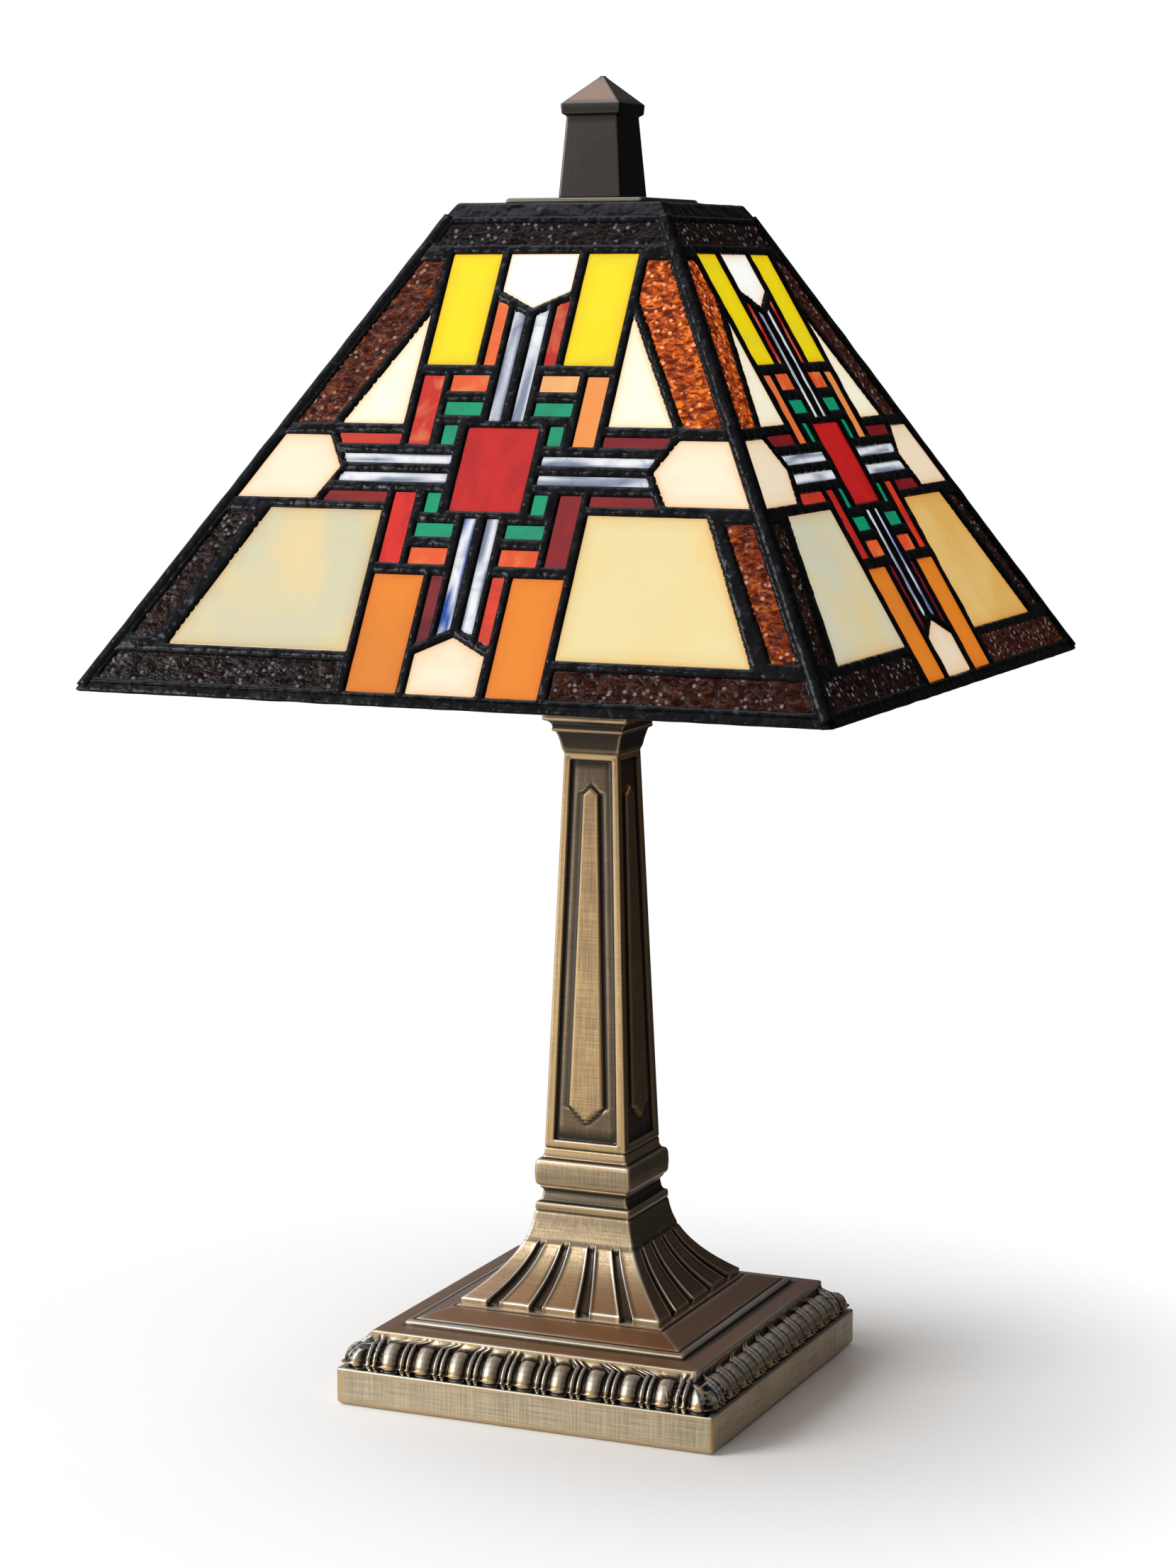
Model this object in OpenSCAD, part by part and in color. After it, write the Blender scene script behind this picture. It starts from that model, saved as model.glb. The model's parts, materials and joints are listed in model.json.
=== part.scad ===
// Square stained glass table lamp: a cast bronze-finished base and column that
// carry a medium screw socket, a harp and a four-sided leaded glass shade.
// Millimetres, +Z up, origin at the middle of the underside, front towards -Y.

/* [Base] */
// Width of the square plinth
base_width = 161.4; // [154:0.2:170]
// Height of the plain band round the plinth
band_height = 15.2; // [14:0.2:17]
// Height of the ledge on top of the beaded moulding
ledge_height = 28.2; // [27:0.2:30]
// Width across the foot of the fluted skirt
skirt_foot_width = 87; // [82:0.5:92]
// Height of the foot of the fluted skirt
skirt_foot_height = 38.4; // [37:0.2:40]
// Beads along each side of the plinth, both corners counted
bead_count = 11; // [9:2:13]
// Width of a skirt groove at its foot
flute_width = 5; // [3:0.2:6]

/* [Column] */
// Height at which the shaft starts
shaft_bottom_height = 94.6; // [93:0.2:97]
// Height at which the shaft ends
shaft_top_height = 258.2; // [250:0.2:260]
// Width of the shaft at its foot
shaft_bottom_width = 35.8; // [34:0.2:38]
// Width of the shaft at its top
shaft_top_width = 23.4; // [22:0.2:26]
// Depth of the sunk panels in the shaft
panel_depth = 1.2; // [0.8:0.1:1.6]

/* [Shade] */
// Width of the shade at its bottom edge
shade_width = 304.8; // [300:0.4:308]
// Width of the shade at its top edge
shade_top_width = 86.4; // [84:0.4:90]
// Height of the shade's bottom edge above the table
shade_bottom_height = 290.8; // [290:0.2:292]
// Height of the shade's top edge above the table
shade_top_height = 474.5; // [473.5:0.1:475]
// Thickness of the came that joins the panes
came_depth = 3.2; // [3:0.1:3.5]
// Thickness of the glass
glass_depth = 2.4; // [2:0.1:2.8]

/* [Finial] */
// Width of the finial at its foot
finial_width = 26.6; // [24:0.2:28]
// Height of the finial, from the cap plate to its point
finial_height = 47.5; // [44:0.5:52]

/* [Light bulb] */
// Radius of the bulb's round end
bulb_radius = 30; // [28:0.5:31]

/* [Hidden] */
$fn = 64;

// Longer than anything that an extrusion has to pass through
through = 400;
// Small step that keeps a cut clear of the face it cuts through
step = 1;

// Base
base_half = base_width / 2;
ledge_half = base_half - 11.8;
skirt_foot_half = skirt_foot_width / 2;
skirt_top_half = 20.8;
skirt_top_height = 72.4;
neck_half = 18.2;
collar_bottom_height = 82;
flute_depth = 1.3;
flute_top_width = 2.6;
flute_top_height = 59;
// Where the grooves run, as shares of the skirt's half width
flute_places = [-0.668, -0.235, 0.235, 0.668];
rim_gap = 0.5;
pad_half = 75;
pad_height = 2;
bead_radius = 6.2;
weight_half = 62;
weight_bottom_height = 8;
weight_top_height = 16;
lug_radius = 6;
lug_place = 42;
inlet_height = 8;
inlet_radius = 5;
cord_radius = 3;

// Lamp pipe, 1/8 inch size
pipe_radius = 5.1;
pipe_bore_radius = 3.6;
pipe_hole_radius = 5.3;
pipe_bottom_height = 2.6;
nut_height = 4;

// Column
capital_top_height = 275;
shaft_wall = 4;
border_bottom = 4;
border_top = 3;

// Harp
saddle_bottom_height = 278;
saddle_thickness = 1.6;
saddle_width = 12;
leg_place = 24.3;
wire_radius = 2;
post_top_height = 292;
leg_straight = 22;
seat_bottom_height = 470.2;
seat_radius = 9;
stud_radius = 3.1;
stud_top_height = 488;
crown_thickness = 2;
seat_top_height = shade_top_height - crown_thickness;

// Socket and bulb
socket_bottom_height = saddle_bottom_height + saddle_thickness;
shell_bottom_height = 297;
shell_top_height = 337;
shell_radius = 17;
switch_height = 304;
bulb_bottom_height = 314.6;
bulb_cap_top_height = 338;
bulb_centre_height = 389;

// Shade
shade_half = shade_width / 2;
shade_rise = shade_top_height - shade_bottom_height;
shade_run = shade_half - shade_top_width / 2;
slope = atan2(shade_rise, shade_run);
slant = norm([shade_rise, shade_run]);
rim_v = 5;
crown_v = slant - 7.3;
hip_gap = 3;
glass_inset = (came_depth - glass_depth) / 2;

// Cap plate and finial
cap_half = 29;
cap_thickness = 2;
cap_top_height = shade_top_height + cap_thickness;
insert_radius = 5;
insert_top_height = 492;

// ---- Shapes that repeat -------------------------------------------------

// Outline [half width, height] mirrored into a closed face view
function face_view(outline) = concat(
    outline,
    [for (i = [len(outline) - 1:-1:0]) [-outline[i][0], outline[i][1]]]
);

// Runs the children's face view through the object along both Y and X
module all_sides() {
    rotate([90, 0, 0]) linear_extrude(height = through, center = true) children();
    rotate([90, 0, 90]) linear_extrude(height = through, center = true) children();
}

// Solid that is square at every height
module square_solid(outline) {
    intersection() {
        rotate([90, 0, 0]) linear_extrude(height = through, center = true)
            polygon(face_view(outline));
        rotate([90, 0, 90]) linear_extrude(height = through, center = true)
            polygon(face_view(outline));
    }
}

// The same, with the children's face view sunk down to the deeper outline
module carved_solid(outline, deeper) {
    difference() {
        square_solid(outline);
        difference() {
            all_sides() children();
            square_solid(deeper);
        }
    }
}

// Square ring of any section [distance from the axis, height], mitred at the corners
module mitred_ring(section) {
    for (turn = [0:90:270]) rotate([0, 0, turn])
        intersection() {
            rotate([90, 0, -90]) linear_extrude(height = through, center = true)
                polygon(section);
            linear_extrude(height = 2 * through)
                polygon([[0, 0], [-through, -through], [through, -through]]);
        }
}

module disc(radius, bottom, top) {
    translate([0, 0, bottom]) cylinder(r = radius, h = top - bottom);
}

module tube(radius, bore, bottom, top) {
    difference() {
        disc(radius, bottom, top);
        disc(bore, bottom - step, top + step);
    }
}

// Turned piece with walls between two outlines [radius, height]
module turned(outer, inner) {
    rotate_extrude() polygon(concat(outer, [for (i = [len(inner) - 1:-1:0]) inner[i]]));
}

// ---- Base ---------------------------------------------------------------

// Concave sweep of the skirt: 0 at its top, 1 at its foot
function skirt_curve(s) = 0.15 * s + 0.85 * pow(s, 2.2);
function skirt_half(s) = skirt_top_half + (skirt_foot_half - skirt_top_half) * skirt_curve(s);
function skirt_point(s, sunk) = [
    skirt_half(s) - sunk,
    skirt_top_height + (skirt_foot_height - skirt_top_height) * s
];

// Convex moulding that carries the beads
function moulding_point(a) = [
    ledge_half + (base_half - 2.2 - ledge_half) * cos(a),
    band_height + (ledge_height - band_height) * sin(a)
];

function base_outline(sunk) = concat(
    [[base_half, rim_gap], [base_half, band_height]],
    [for (a = [0:15:90]) moulding_point(a)],
    [
        [ledge_half - 8.5, ledge_height + 1.8],
        [ledge_half - 8.5, ledge_height + 2.8],
        [ledge_half - 10.4, ledge_height + 3.8],
        [skirt_foot_half + 1.6, skirt_foot_height - 2.8],
        [skirt_foot_half, skirt_foot_height - 2.4]
    ],
    [for (s = [1:-0.1:0]) skirt_point(s, sunk)],
    [
        [skirt_top_half - 0.2, skirt_top_height + 2.8],
        [neck_half + 0.6, skirt_top_height + 4.2],
        [neck_half, collar_bottom_height - 2],
        [neck_half + 1.2, collar_bottom_height]
    ]
);

function base_hollow() = [
    [base_half - 7, pad_height],
    [base_half - 7, band_height - 1],
    [ledge_half - 2, ledge_height - 4],
    [ledge_half - 12, ledge_height - 1.6],
    [skirt_foot_half - 2, skirt_foot_height - 5.8],
    [skirt_half(0.7) - 4.5, skirt_foot_height + 6.5],
    [skirt_half(0.4) - 4.5, skirt_foot_height + 17],
    [skirt_top_half - 4.5, skirt_top_height - 2]
];

// Grooves between the raised tongues, fanning out towards the foot
module skirt_grooves() {
    top_s = (skirt_top_height - flute_top_height) / (skirt_top_height - skirt_foot_height);
    for (place = flute_places) {
        top = place * skirt_half(top_s);
        foot = place * skirt_foot_half;
        polygon([
            [top - flute_top_width / 2, flute_top_height],
            [top + flute_top_width / 2, flute_top_height],
            [foot + flute_width / 2, skirt_foot_height - 0.4],
            [foot - flute_width / 2, skirt_foot_height - 0.4]
        ]);
    }
}

module beads() {
    reach = base_half - 0.9 - bead_radius;
    pitch = 2 * reach / (bead_count - 1);
    for (turn = [0:90:270], i = [0:bead_count - 2])
        rotate([0, 0, turn])
            translate([i * pitch - reach, -reach, band_height + bead_radius])
                sphere(r = bead_radius, $fn = 32);
}

module base_casting() {
    color("#8c7648") difference() {
        union() {
            difference() {
                union() {
                    carved_solid(base_outline(0), base_outline(flute_depth)) skirt_grooves();
                    beads();
                }
                square_solid(base_hollow());
                translate([0, 0, rim_gap + pad_height / 2 - step])
                    cube([2 * pad_half + 1, 2 * pad_half + 1, pad_height - rim_gap + 2 * step - 0.5],
                         center = true);
            }
            for (x = [-1, 1], y = [-1, 1])
                translate([x * lug_place, y * lug_place, 0])
                    disc(lug_radius, weight_top_height, skirt_foot_height - 5);
        }
        disc(pipe_hole_radius, skirt_foot_height, collar_bottom_height + step);
        translate([0, base_half - 12, inlet_height]) rotate([-90, 0, 0])
            cylinder(r = inlet_radius, h = 20);
    }
}

module base_pad() {
    color("#2f4a36") translate([-pad_half, -pad_half, 0])
        cube([2 * pad_half, 2 * pad_half, pad_height]);
}

module base_weight() {
    color("#4a4a4c") difference() {
        translate([-weight_half, -weight_half, weight_bottom_height])
            cube([2 * weight_half, 2 * weight_half, weight_top_height - weight_bottom_height]);
        disc(pipe_hole_radius, 0, weight_top_height + step);
    }
}

module lock_washer() {
    color("#a8a8a4") tube(12, pipe_hole_radius, weight_bottom_height - 1.4, weight_bottom_height);
}

module lock_nut() {
    color("#b09a58") difference() {
        translate([0, 0, pipe_bottom_height]) cylinder(r = 9, h = nut_height, $fn = 6);
        disc(pipe_hole_radius, 0, 20);
    }
}

module cord_bushing() {
    color("#1c1c1c") translate([0, base_half, inlet_height]) rotate([-90, 0, 0])
        difference() {
            union() {
                disc(inlet_radius, -7, 0);
                disc(inlet_radius + 1.4, 0, 1.6);
                disc(inlet_radius + 0.8, -9, -7);
            }
            disc(cord_radius, -20, 20);
        }
}

module threaded_pipe() {
    color("#b5b2a6") tube(pipe_radius, pipe_bore_radius, pipe_bottom_height, 290);
}

// ---- Column -------------------------------------------------------------

function collar_outline() = [
    [19.4, collar_bottom_height],
    [20.7, collar_bottom_height + 2.6],
    [21, collar_bottom_height + 5.5],
    [20.7, collar_bottom_height + 8.6],
    [19.9, collar_bottom_height + 11],
    [shaft_bottom_width / 2 + 0.8, collar_bottom_height + 11.4],
    [shaft_bottom_width / 2 + 0.3, shaft_bottom_height]
];

module collar() {
    color("#8c7648") difference() {
        square_solid(collar_outline());
        disc(pipe_hole_radius, 0, 200);
    }
}

// Half width of the shaft at a height
function shaft_half(z) = (shaft_bottom_width + (shaft_top_width - shaft_bottom_width)
    * (z - shaft_bottom_height) / (shaft_top_height - shaft_bottom_height)) / 2;

function shaft_outline(sunk) = [
    [shaft_half(shaft_bottom_height) - sunk, shaft_bottom_height],
    [shaft_half(shaft_top_height) - sunk, shaft_top_height]
];

// Sunk panel with a raised pointed shield in its middle
module sunk_panel() {
    low = shaft_bottom_height + 6.4;
    high = shaft_top_height - 2.7;
    difference() {
        polygon(face_view([
            [shaft_half(low) - border_bottom, low],
            [shaft_half(high) - border_top, high]
        ]));
        polygon(face_view([
            [0.1, low + 8],
            [8.2, low + 14.5],
            [3.2, high - 13.9],
            [0.1, high - 10.8]
        ]));
    }
}

module column_shaft() {
    color("#8c7648") difference() {
        carved_solid(shaft_outline(0), shaft_outline(panel_depth)) sunk_panel();
        square_solid([
            [shaft_half(shaft_bottom_height) - shaft_wall, shaft_bottom_height + 5],
            [shaft_half(shaft_top_height) - shaft_wall, shaft_top_height - 5]
        ]);
        disc(pipe_hole_radius, 0, 300);
    }
}

module capital() {
    outline = [
        [shaft_top_width / 2 + 0.1, shaft_top_height],
        [12.5, shaft_top_height + 2],
        [13.5, shaft_top_height + 5.4],
        [14, shaft_top_height + 8.6],
        [15.3, shaft_top_height + 9],
        [15.5, shaft_top_height + 11.2],
        [16.6, shaft_top_height + 12.6],
        [18.4, shaft_top_height + 13.6],
        [18.4, capital_top_height]
    ];
    color("#8c7648") difference() {
        square_solid(outline);
        disc(pipe_hole_radius, 0, 300);
    }
}

module check_ring() {
    color("#b5954f") tube(13, pipe_hole_radius, capital_top_height, saddle_bottom_height);
}

// ---- Harp ---------------------------------------------------------------

module harp_saddle() {
    color("#c2a25a") {
        difference() {
            union() {
                translate([-leg_place, -saddle_width / 2, saddle_bottom_height])
                    cube([2 * leg_place, saddle_width, saddle_thickness]);
                for (side = [-1, 1]) translate([side * leg_place, 0, 0]) {
                    disc(saddle_width / 2, saddle_bottom_height, socket_bottom_height);
                    disc(wire_radius + 1, saddle_bottom_height, socket_bottom_height + 3);
                    disc(wire_radius, saddle_bottom_height, post_top_height);
                }
            }
            disc(pipe_hole_radius, 0, 300);
        }
    }
}

// One side of the harp as a list of bends: [radius, turn to the left in degrees],
// and a straight stretch where the turn is 0: [length, 0]
harp_bends = [[leg_straight, 0], [40, -35], [10, 0], [60, 55], [52.5, 0], [28.3, 70]];
bend_steps = 5;

// Walks the bends from a point [x, z] and a heading (0 is straight up, left is positive)
function walk(at, heading, bends) = len(bends) == 0 ? [[at, heading]] :
    let (bend = bends[0], rest = [for (i = [1:1:len(bends) - 1]) bends[i]])
    bend[1] == 0
        ? concat([[at, heading]],
                 walk(at + bend[0] * [-sin(heading), cos(heading)], heading, rest))
        : let (side = sign(bend[1]),
               centre = at - side * bend[0] * [cos(heading), sin(heading)],
               turn = bend[1] / bend_steps)
          concat(
              [for (i = [0:bend_steps - 1])
                  let (h = heading + i * turn) [centre + side * bend[0] * [cos(h), sin(h)], h]],
              walk(centre + side * bend[0] * [cos(heading + bend[1]), sin(heading + bend[1])],
                   heading + bend[1], rest));

module harp_wire() {
    sides = 12;
    half_path = walk([leg_place, post_top_height], 0, harp_bends);
    count = len(half_path);
    path = concat(half_path, [for (i = [count - 2:-1:0])
        [[-half_path[i][0][0], half_path[i][0][1]], 180 - half_path[i][1]]]);
    rings = len(path);
    points = [for (p = path, k = [0:sides - 1])
        let (out = wire_radius * cos(360 * k / sides), y = wire_radius * sin(360 * k / sides))
        [p[0][0] + out * cos(p[1]), y, p[0][1] + out * sin(p[1])]];
    walls = [for (i = [0:rings - 2], k = [0:sides - 1])
        let (next = (k + 1) % sides)
        [i * sides + k, (i + 1) * sides + k, (i + 1) * sides + next, i * sides + next]];
    start = [for (k = [0:sides - 1]) k];
    end = [for (k = [sides - 1:-1:0]) (rings - 1) * sides + k];
    color("#c2a25a") {
        polyhedron(points, concat(walls, [start, end]));
        disc(5, seat_bottom_height - 6, seat_bottom_height);
    }
}

module harp_stud() {
    color("#b5954f") {
        disc(seat_radius, seat_bottom_height, seat_top_height);
        disc(stud_radius, seat_bottom_height, stud_top_height);
    }
}

module ferrule(side) {
    color("#b5954f") translate([side * leg_place, 0, 0])
        tube(4, wire_radius + 0.35, socket_bottom_height + 3.2, post_top_height + 8);
}
module ferrule_left() ferrule(-1);
module ferrule_right() ferrule(1);

// ---- Socket -------------------------------------------------------------

module socket_cap() {
    color("#c2a25a") turned(
        [[8, socket_bottom_height], [8, 285], [15, 288.5], [shell_radius, 292],
         [shell_radius, shell_bottom_height]],
        [[pipe_hole_radius, socket_bottom_height], [pipe_hole_radius, 286], [13.5, 290],
         [shell_radius - 1.2, 293], [shell_radius - 1.2, shell_bottom_height]]
    );
}

module switch_hole() {
    translate([0, 0, switch_height]) rotate([90, 0, 0]) cylinder(r = 2.6, h = 30);
}

module socket_shell() {
    color("#c2a25a") difference() {
        tube(shell_radius, shell_radius - 1, shell_bottom_height, shell_top_height);
        switch_hole();
    }
}

module insulating_sleeve() {
    color("#3a3834") difference() {
        tube(15.8, 14.8, shell_bottom_height, shell_top_height - 1);
        switch_hole();
    }
}

module socket_interior() {
    color("#26231f") difference() {
        disc(14.5, 294, 312);
        switch_hole();
        for (side = [-1, 1]) translate([side * 14.5, 0, 300])
            cube([6, 8, 8], center = true);
    }
}

module screw_shell() {
    color("#b9bbb8") tube(14.3, 13.6, 312, shell_top_height - 1.5);
}

module centre_contact() {
    color("#b5954f") disc(4, 312, bulb_bottom_height - 0.4);
}

module terminal_screws() {
    color("#b5954f") for (side = [-1, 1])
        translate([side * 11.5, 0, 300]) rotate([0, side * 90, 0]) cylinder(r = 3, h = 2.4);
}

module switch_stem() {
    color("#b5954f") translate([0, 0, switch_height]) rotate([90, 0, 0])
        translate([0, 0, 5]) cylinder(r = 2, h = 18);
}

module switch_knob() {
    color("#1f1b18") translate([0, -23, switch_height]) rotate([90, 0, 0]) {
        cylinder(r = 3.5, h = 3);
        translate([0, 0, 3]) difference() {
            cylinder(r = 6, h = 9);
            for (a = [0:36:324]) rotate([0, 0, a]) translate([6.4, 0, -step])
                cylinder(r = 1, h = 11 + step, $fn = 24);
        }
    }
}

// ---- Bulb ---------------------------------------------------------------

module bulb_cap() {
    ridges = [for (i = [0:5]) each [[12.3, 319 + i * 3], [13.1, 320.5 + i * 3]]];
    color("#c8cac8") rotate_extrude() polygon(concat(
        [[0, 316], [5, 316], [9, 318]], ridges, [[12.6, bulb_cap_top_height], [0, bulb_cap_top_height]]
    ));
}

module bulb_contact() {
    color("#8f8f8a") disc(4.2, bulb_bottom_height, 316);
}

// Glass envelope outline, drawn in from the outside by a wall thickness
function bulb_outline(wall) = concat(
    [
        [12.6 - wall, bulb_cap_top_height],
        [13.8 - wall, bulb_cap_top_height + 9],
        [17.5 - wall, bulb_cap_top_height + 20]
    ],
    [for (a = [-42:12:90]) [
        max(0.01, (bulb_radius - wall) * cos(a)),
        bulb_centre_height + (bulb_radius - wall) * sin(a)
    ]]
);

module bulb_glass() {
    color("#f6f2e6") turned(bulb_outline(0), bulb_outline(1));
}

module bulb_stem() {
    color("#dfe3e0") {
        disc(4, bulb_cap_top_height, 366);
        translate([-12, -0.6, 378]) cube([24, 1.2, 1.2]);
        for (side = [-1, 1]) hull() {
            translate([side * 2, 0, 364]) sphere(r = 0.7, $fn = 12);
            translate([side * 11.4, 0, 378.6]) sphere(r = 0.7, $fn = 12);
        }
    }
}

// ---- Shade frame --------------------------------------------------------

// Points of the shade's wall at a distance v up its slope
function outer_point(v) = [shade_half - v * cos(slope), shade_bottom_height + v * sin(slope)];
function inner_point(v) = outer_point(v) - came_depth * [sin(slope), cos(slope)];

// Half width of a face at a distance v up its slope
function face_half(v) = shade_half - v * shade_run / slant;

// Places a drawing [across, up the slope] on one face, its outer side at z = 0
module on_face(index) {
    rotate([0, 0, 90 * index]) translate([0, -shade_half, shade_bottom_height])
        rotate([slope, 0, 0]) children();
}
module on_faces() {
    for (index = [0:3]) on_face(index) children();
}

module crown_plate() {
    outer = outer_point(slant) - [came_depth / sin(slope), 0];
    below = outer - crown_thickness * [-1 / tan(slope), 1];
    color("#2a2622") difference() {
        square_solid([below, outer]);
        disc(5.5, 0, 600);
        for (turn = [45:90:315]) rotate([0, 0, turn]) translate([24, 0, 0]) disc(4, 0, 600);
    }
}

module crown_band() {
    color("#1d1b1a") mitred_ring([
        outer_point(crown_v), outer_point(slant),
        outer_point(slant) - [came_depth / sin(slope), 0], inner_point(crown_v)
    ]);
}

module bottom_rim() {
    color("#1d1b1a") mitred_ring([
        outer_point(0), outer_point(rim_v), inner_point(rim_v),
        outer_point(0) - [came_depth / sin(slope), 0]
    ]);
}

// A face between two distances up its slope, less a strip along each hip
module face_outline(low, high) {
    polygon([
        [hip_gap - face_half(low), low], [face_half(low) - hip_gap, low],
        [face_half(high) - hip_gap, high], [hip_gap - face_half(high), high]
    ]);
}

module hip_cames() {
    color("#1d1b1a") difference() {
        mitred_ring([
            outer_point(rim_v), outer_point(crown_v), inner_point(crown_v), inner_point(rim_v)
        ]);
        on_faces() translate([0, 0, -came_depth - 0.5])
            linear_extrude(height = came_depth + step) face_outline(rim_v - step, crown_v + step);
    }
}

// ---- Leaded pattern -----------------------------------------------------
// u runs across a face from its middle, w up the slope from the middle of the
// centre pane. A pair [near, far] gives a pane's reach along u or w.

centre_v = 98.4;
centre_u = 15;
centre_w = 18;
rod_u = [1.8, 7.5];
rod_w = [20, 66];
arm_u = [18, 62];
arm_w = [1.6, 6.3];
block_u = [18.5, 25];
block_w = [9.7, 19];
bar_u = [10.4, 26.5];
green_bar_w = [22.3, 28.8];
orange_bar_w = [32.5, 40.3];
tall_u = [29, 38.5];
tall_w = [9.6, 40];
wide_u = [17.5, 39];
wide_w = [43.8, 93];
sliver_u = [9.5, 15.3];
sliver_w = [43.8, 70];
house_u = 14.5;
house_w = [68.5, 76, 93];
wing_u = [41, 66];
wing_w = [9.6, 14.9];
side_house_u = [63.5, 71.5];
side_house_w = 14;
field_u = 41.5;
upper_field = [68.5, 18.1, 67.6];
lower_field_u = [118, 89];
lower_field_w = [-76.9, -17.4];
border_u = [124.5, 95.5];
border_w = [-74.4, -19.4];
border_gap = 2.3;
upper_border_w = [18.1, 73, 90];
upper_border_u = [71.9, 42];
band_v = [6, 18.5];
band_u = 42.5;
top_band_v = [slant - 19.3, slant - 8.5];
edge_gap = 5;

function box(u, w) = [[u[0], w[0]], [u[1], w[0]], [u[1], w[1]], [u[0], w[1]]];
// Half width of a face at a height w
function edge(w) = face_half(w + centre_v);

module by_w() {
    translate([0, centre_v]) children();
}
module left_and_right() {
    children();
    mirror([1, 0]) children();
}
module four_ways() {
    for (flip = [0, 1]) mirror([0, flip]) left_and_right() children();
}

// Pane that ends on a slant of a given rise, so that it follows a house's roof
module rod(u, w, rise) {
    polygon([[u[0], w[0]], [u[1], w[0]], [u[1], w[1] + rise], [u[0], w[1]]]);
}
module arm(u, w, rise) {
    polygon([[u[0], w[0]], [u[1], w[0]], [u[1] + rise, w[1]], [u[0], w[1]]]);
}
module house() {
    polygon(face_view([[0, house_w[0]], [house_u, house_w[1]], [house_u, house_w[2]]]));
}

module yellow_shapes() by_w() left_and_right() polygon(box(wide_u, wide_w));
module amber_shapes() by_w() mirror([0, 1]) left_and_right() polygon(box(wide_u, wide_w));
module white_shapes() by_w() house();
module peach_shapes() by_w() {
    mirror([0, 1]) house();
    left_and_right() polygon([
        [side_house_u[0], 0], [side_house_u[1], -side_house_w],
        [edge(-side_house_w) - 4, -side_house_w], [edge(side_house_w) - 4, side_house_w],
        [side_house_u[1], side_house_w]
    ]);
}
module cream_shapes() by_w() left_and_right() polygon([
    [field_u, upper_field[1]], [upper_field[0], upper_field[1]], [field_u, upper_field[2]]
]);
module opal_shapes() by_w() left_and_right() polygon([
    [field_u, lower_field_w[0]], [lower_field_u[0], lower_field_w[0]],
    [lower_field_u[1], lower_field_w[1]], [field_u, lower_field_w[1]]
]);
module red_shapes() by_w() {
    polygon(box([-centre_u, centre_u], [-centre_w, centre_w]));
    mirror([0, 1]) left_and_right() polygon(box(tall_u, tall_w));
}
module dark_red_shapes() by_w() {
    four_ways() arm(wing_u, wing_w, 2.8);
    mirror([0, 1]) left_and_right() rod(sliver_u, sliver_w, 2.8);
}
module orange_shapes() by_w() {
    four_ways() polygon(box(bar_u, orange_bar_w));
    left_and_right() {
        polygon(box(tall_u, tall_w));
        rod(sliver_u, sliver_w, 2.8);
    }
}
module green_shapes() by_w() four_ways() {
    polygon(box(block_u, block_w));
    polygon(box(bar_u, green_bar_w));
}
module streaky_shapes() by_w() four_ways() {
    rod(rod_u, rod_w, 2.8);
    arm(arm_u, arm_w, 2.6);
}
module brown_shapes() {
    by_w() left_and_right() {
        polygon([
            [upper_border_u[0], upper_border_w[0]],
            [edge(upper_border_w[0]) - edge_gap, upper_border_w[0]],
            [edge(upper_border_w[2]) - edge_gap, upper_border_w[2]],
            [upper_border_u[1], upper_border_w[2]],
            [upper_border_u[1], upper_border_w[1]]
        ]);
        polygon([
            [border_u[0], border_w[0]], [edge(border_w[0]) - border_gap - hip_gap, border_w[0]],
            [edge(border_w[1]) - border_gap - hip_gap, border_w[1]], [border_u[1], border_w[1]]
        ]);
    }
    left_and_right() polygon([
        [band_u, band_v[0]], [face_half(band_v[0]) - edge_gap, band_v[0]],
        [face_half(band_v[1]) - edge_gap, band_v[1]], [band_u, band_v[1]]
    ]);
    polygon(face_view([
        [face_half(top_band_v[0]) - edge_gap, top_band_v[0]],
        [face_half(top_band_v[1]) - edge_gap, top_band_v[1]]
    ]));
}

module came(index) {
    color("#1d1b1a") on_face(index) translate([0, 0, -came_depth])
        linear_extrude(height = came_depth) difference() {
            face_outline(rim_v, crown_v);
            yellow_shapes();
            amber_shapes();
            white_shapes();
            peach_shapes();
            cream_shapes();
            opal_shapes();
            red_shapes();
            dark_red_shapes();
            orange_shapes();
            green_shapes();
            streaky_shapes();
            brown_shapes();
        }
}
module came_front() came(0);
module came_right() came(1);
module came_back() came(2);
module came_left() came(3);

module panes() {
    on_faces() translate([0, 0, -glass_inset - glass_depth])
        linear_extrude(height = glass_depth) children();
}
module glass_yellow() color("#f2d313") panes() yellow_shapes();
module glass_white() color("#fffdf6") panes() white_shapes();
module glass_cream() color("#fbf3dc") panes() cream_shapes();
module glass_opal() color("#dfe0b4") panes() opal_shapes();
module glass_peach() color("#fae6c8") panes() peach_shapes();
module glass_amber() color("#e39232") panes() amber_shapes();
module glass_red() color("#c4221f") panes() red_shapes();
module glass_dark_red() color("#7d1018") panes() dark_red_shapes();
module glass_orange() color("#e0713f") panes() orange_shapes();
module glass_green() color("#10a07a") panes() green_shapes();
module glass_streaky() color("#c5d2e8") panes() streaky_shapes();
module glass_brown() color("#6b2b16") panes() brown_shapes();

// ---- Cap plate and finial ----------------------------------------------

module cap_plate() {
    color("#7d6a3e") difference() {
        square_solid([[cap_half, shade_top_height], [cap_half - 0.6, cap_top_height]]);
        disc(stud_radius + 0.5, 0, 600);
    }
}

module finial_insert() {
    color("#b5954f") tube(insert_radius, stud_radius + 0.4, cap_top_height, insert_top_height);
}

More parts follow.
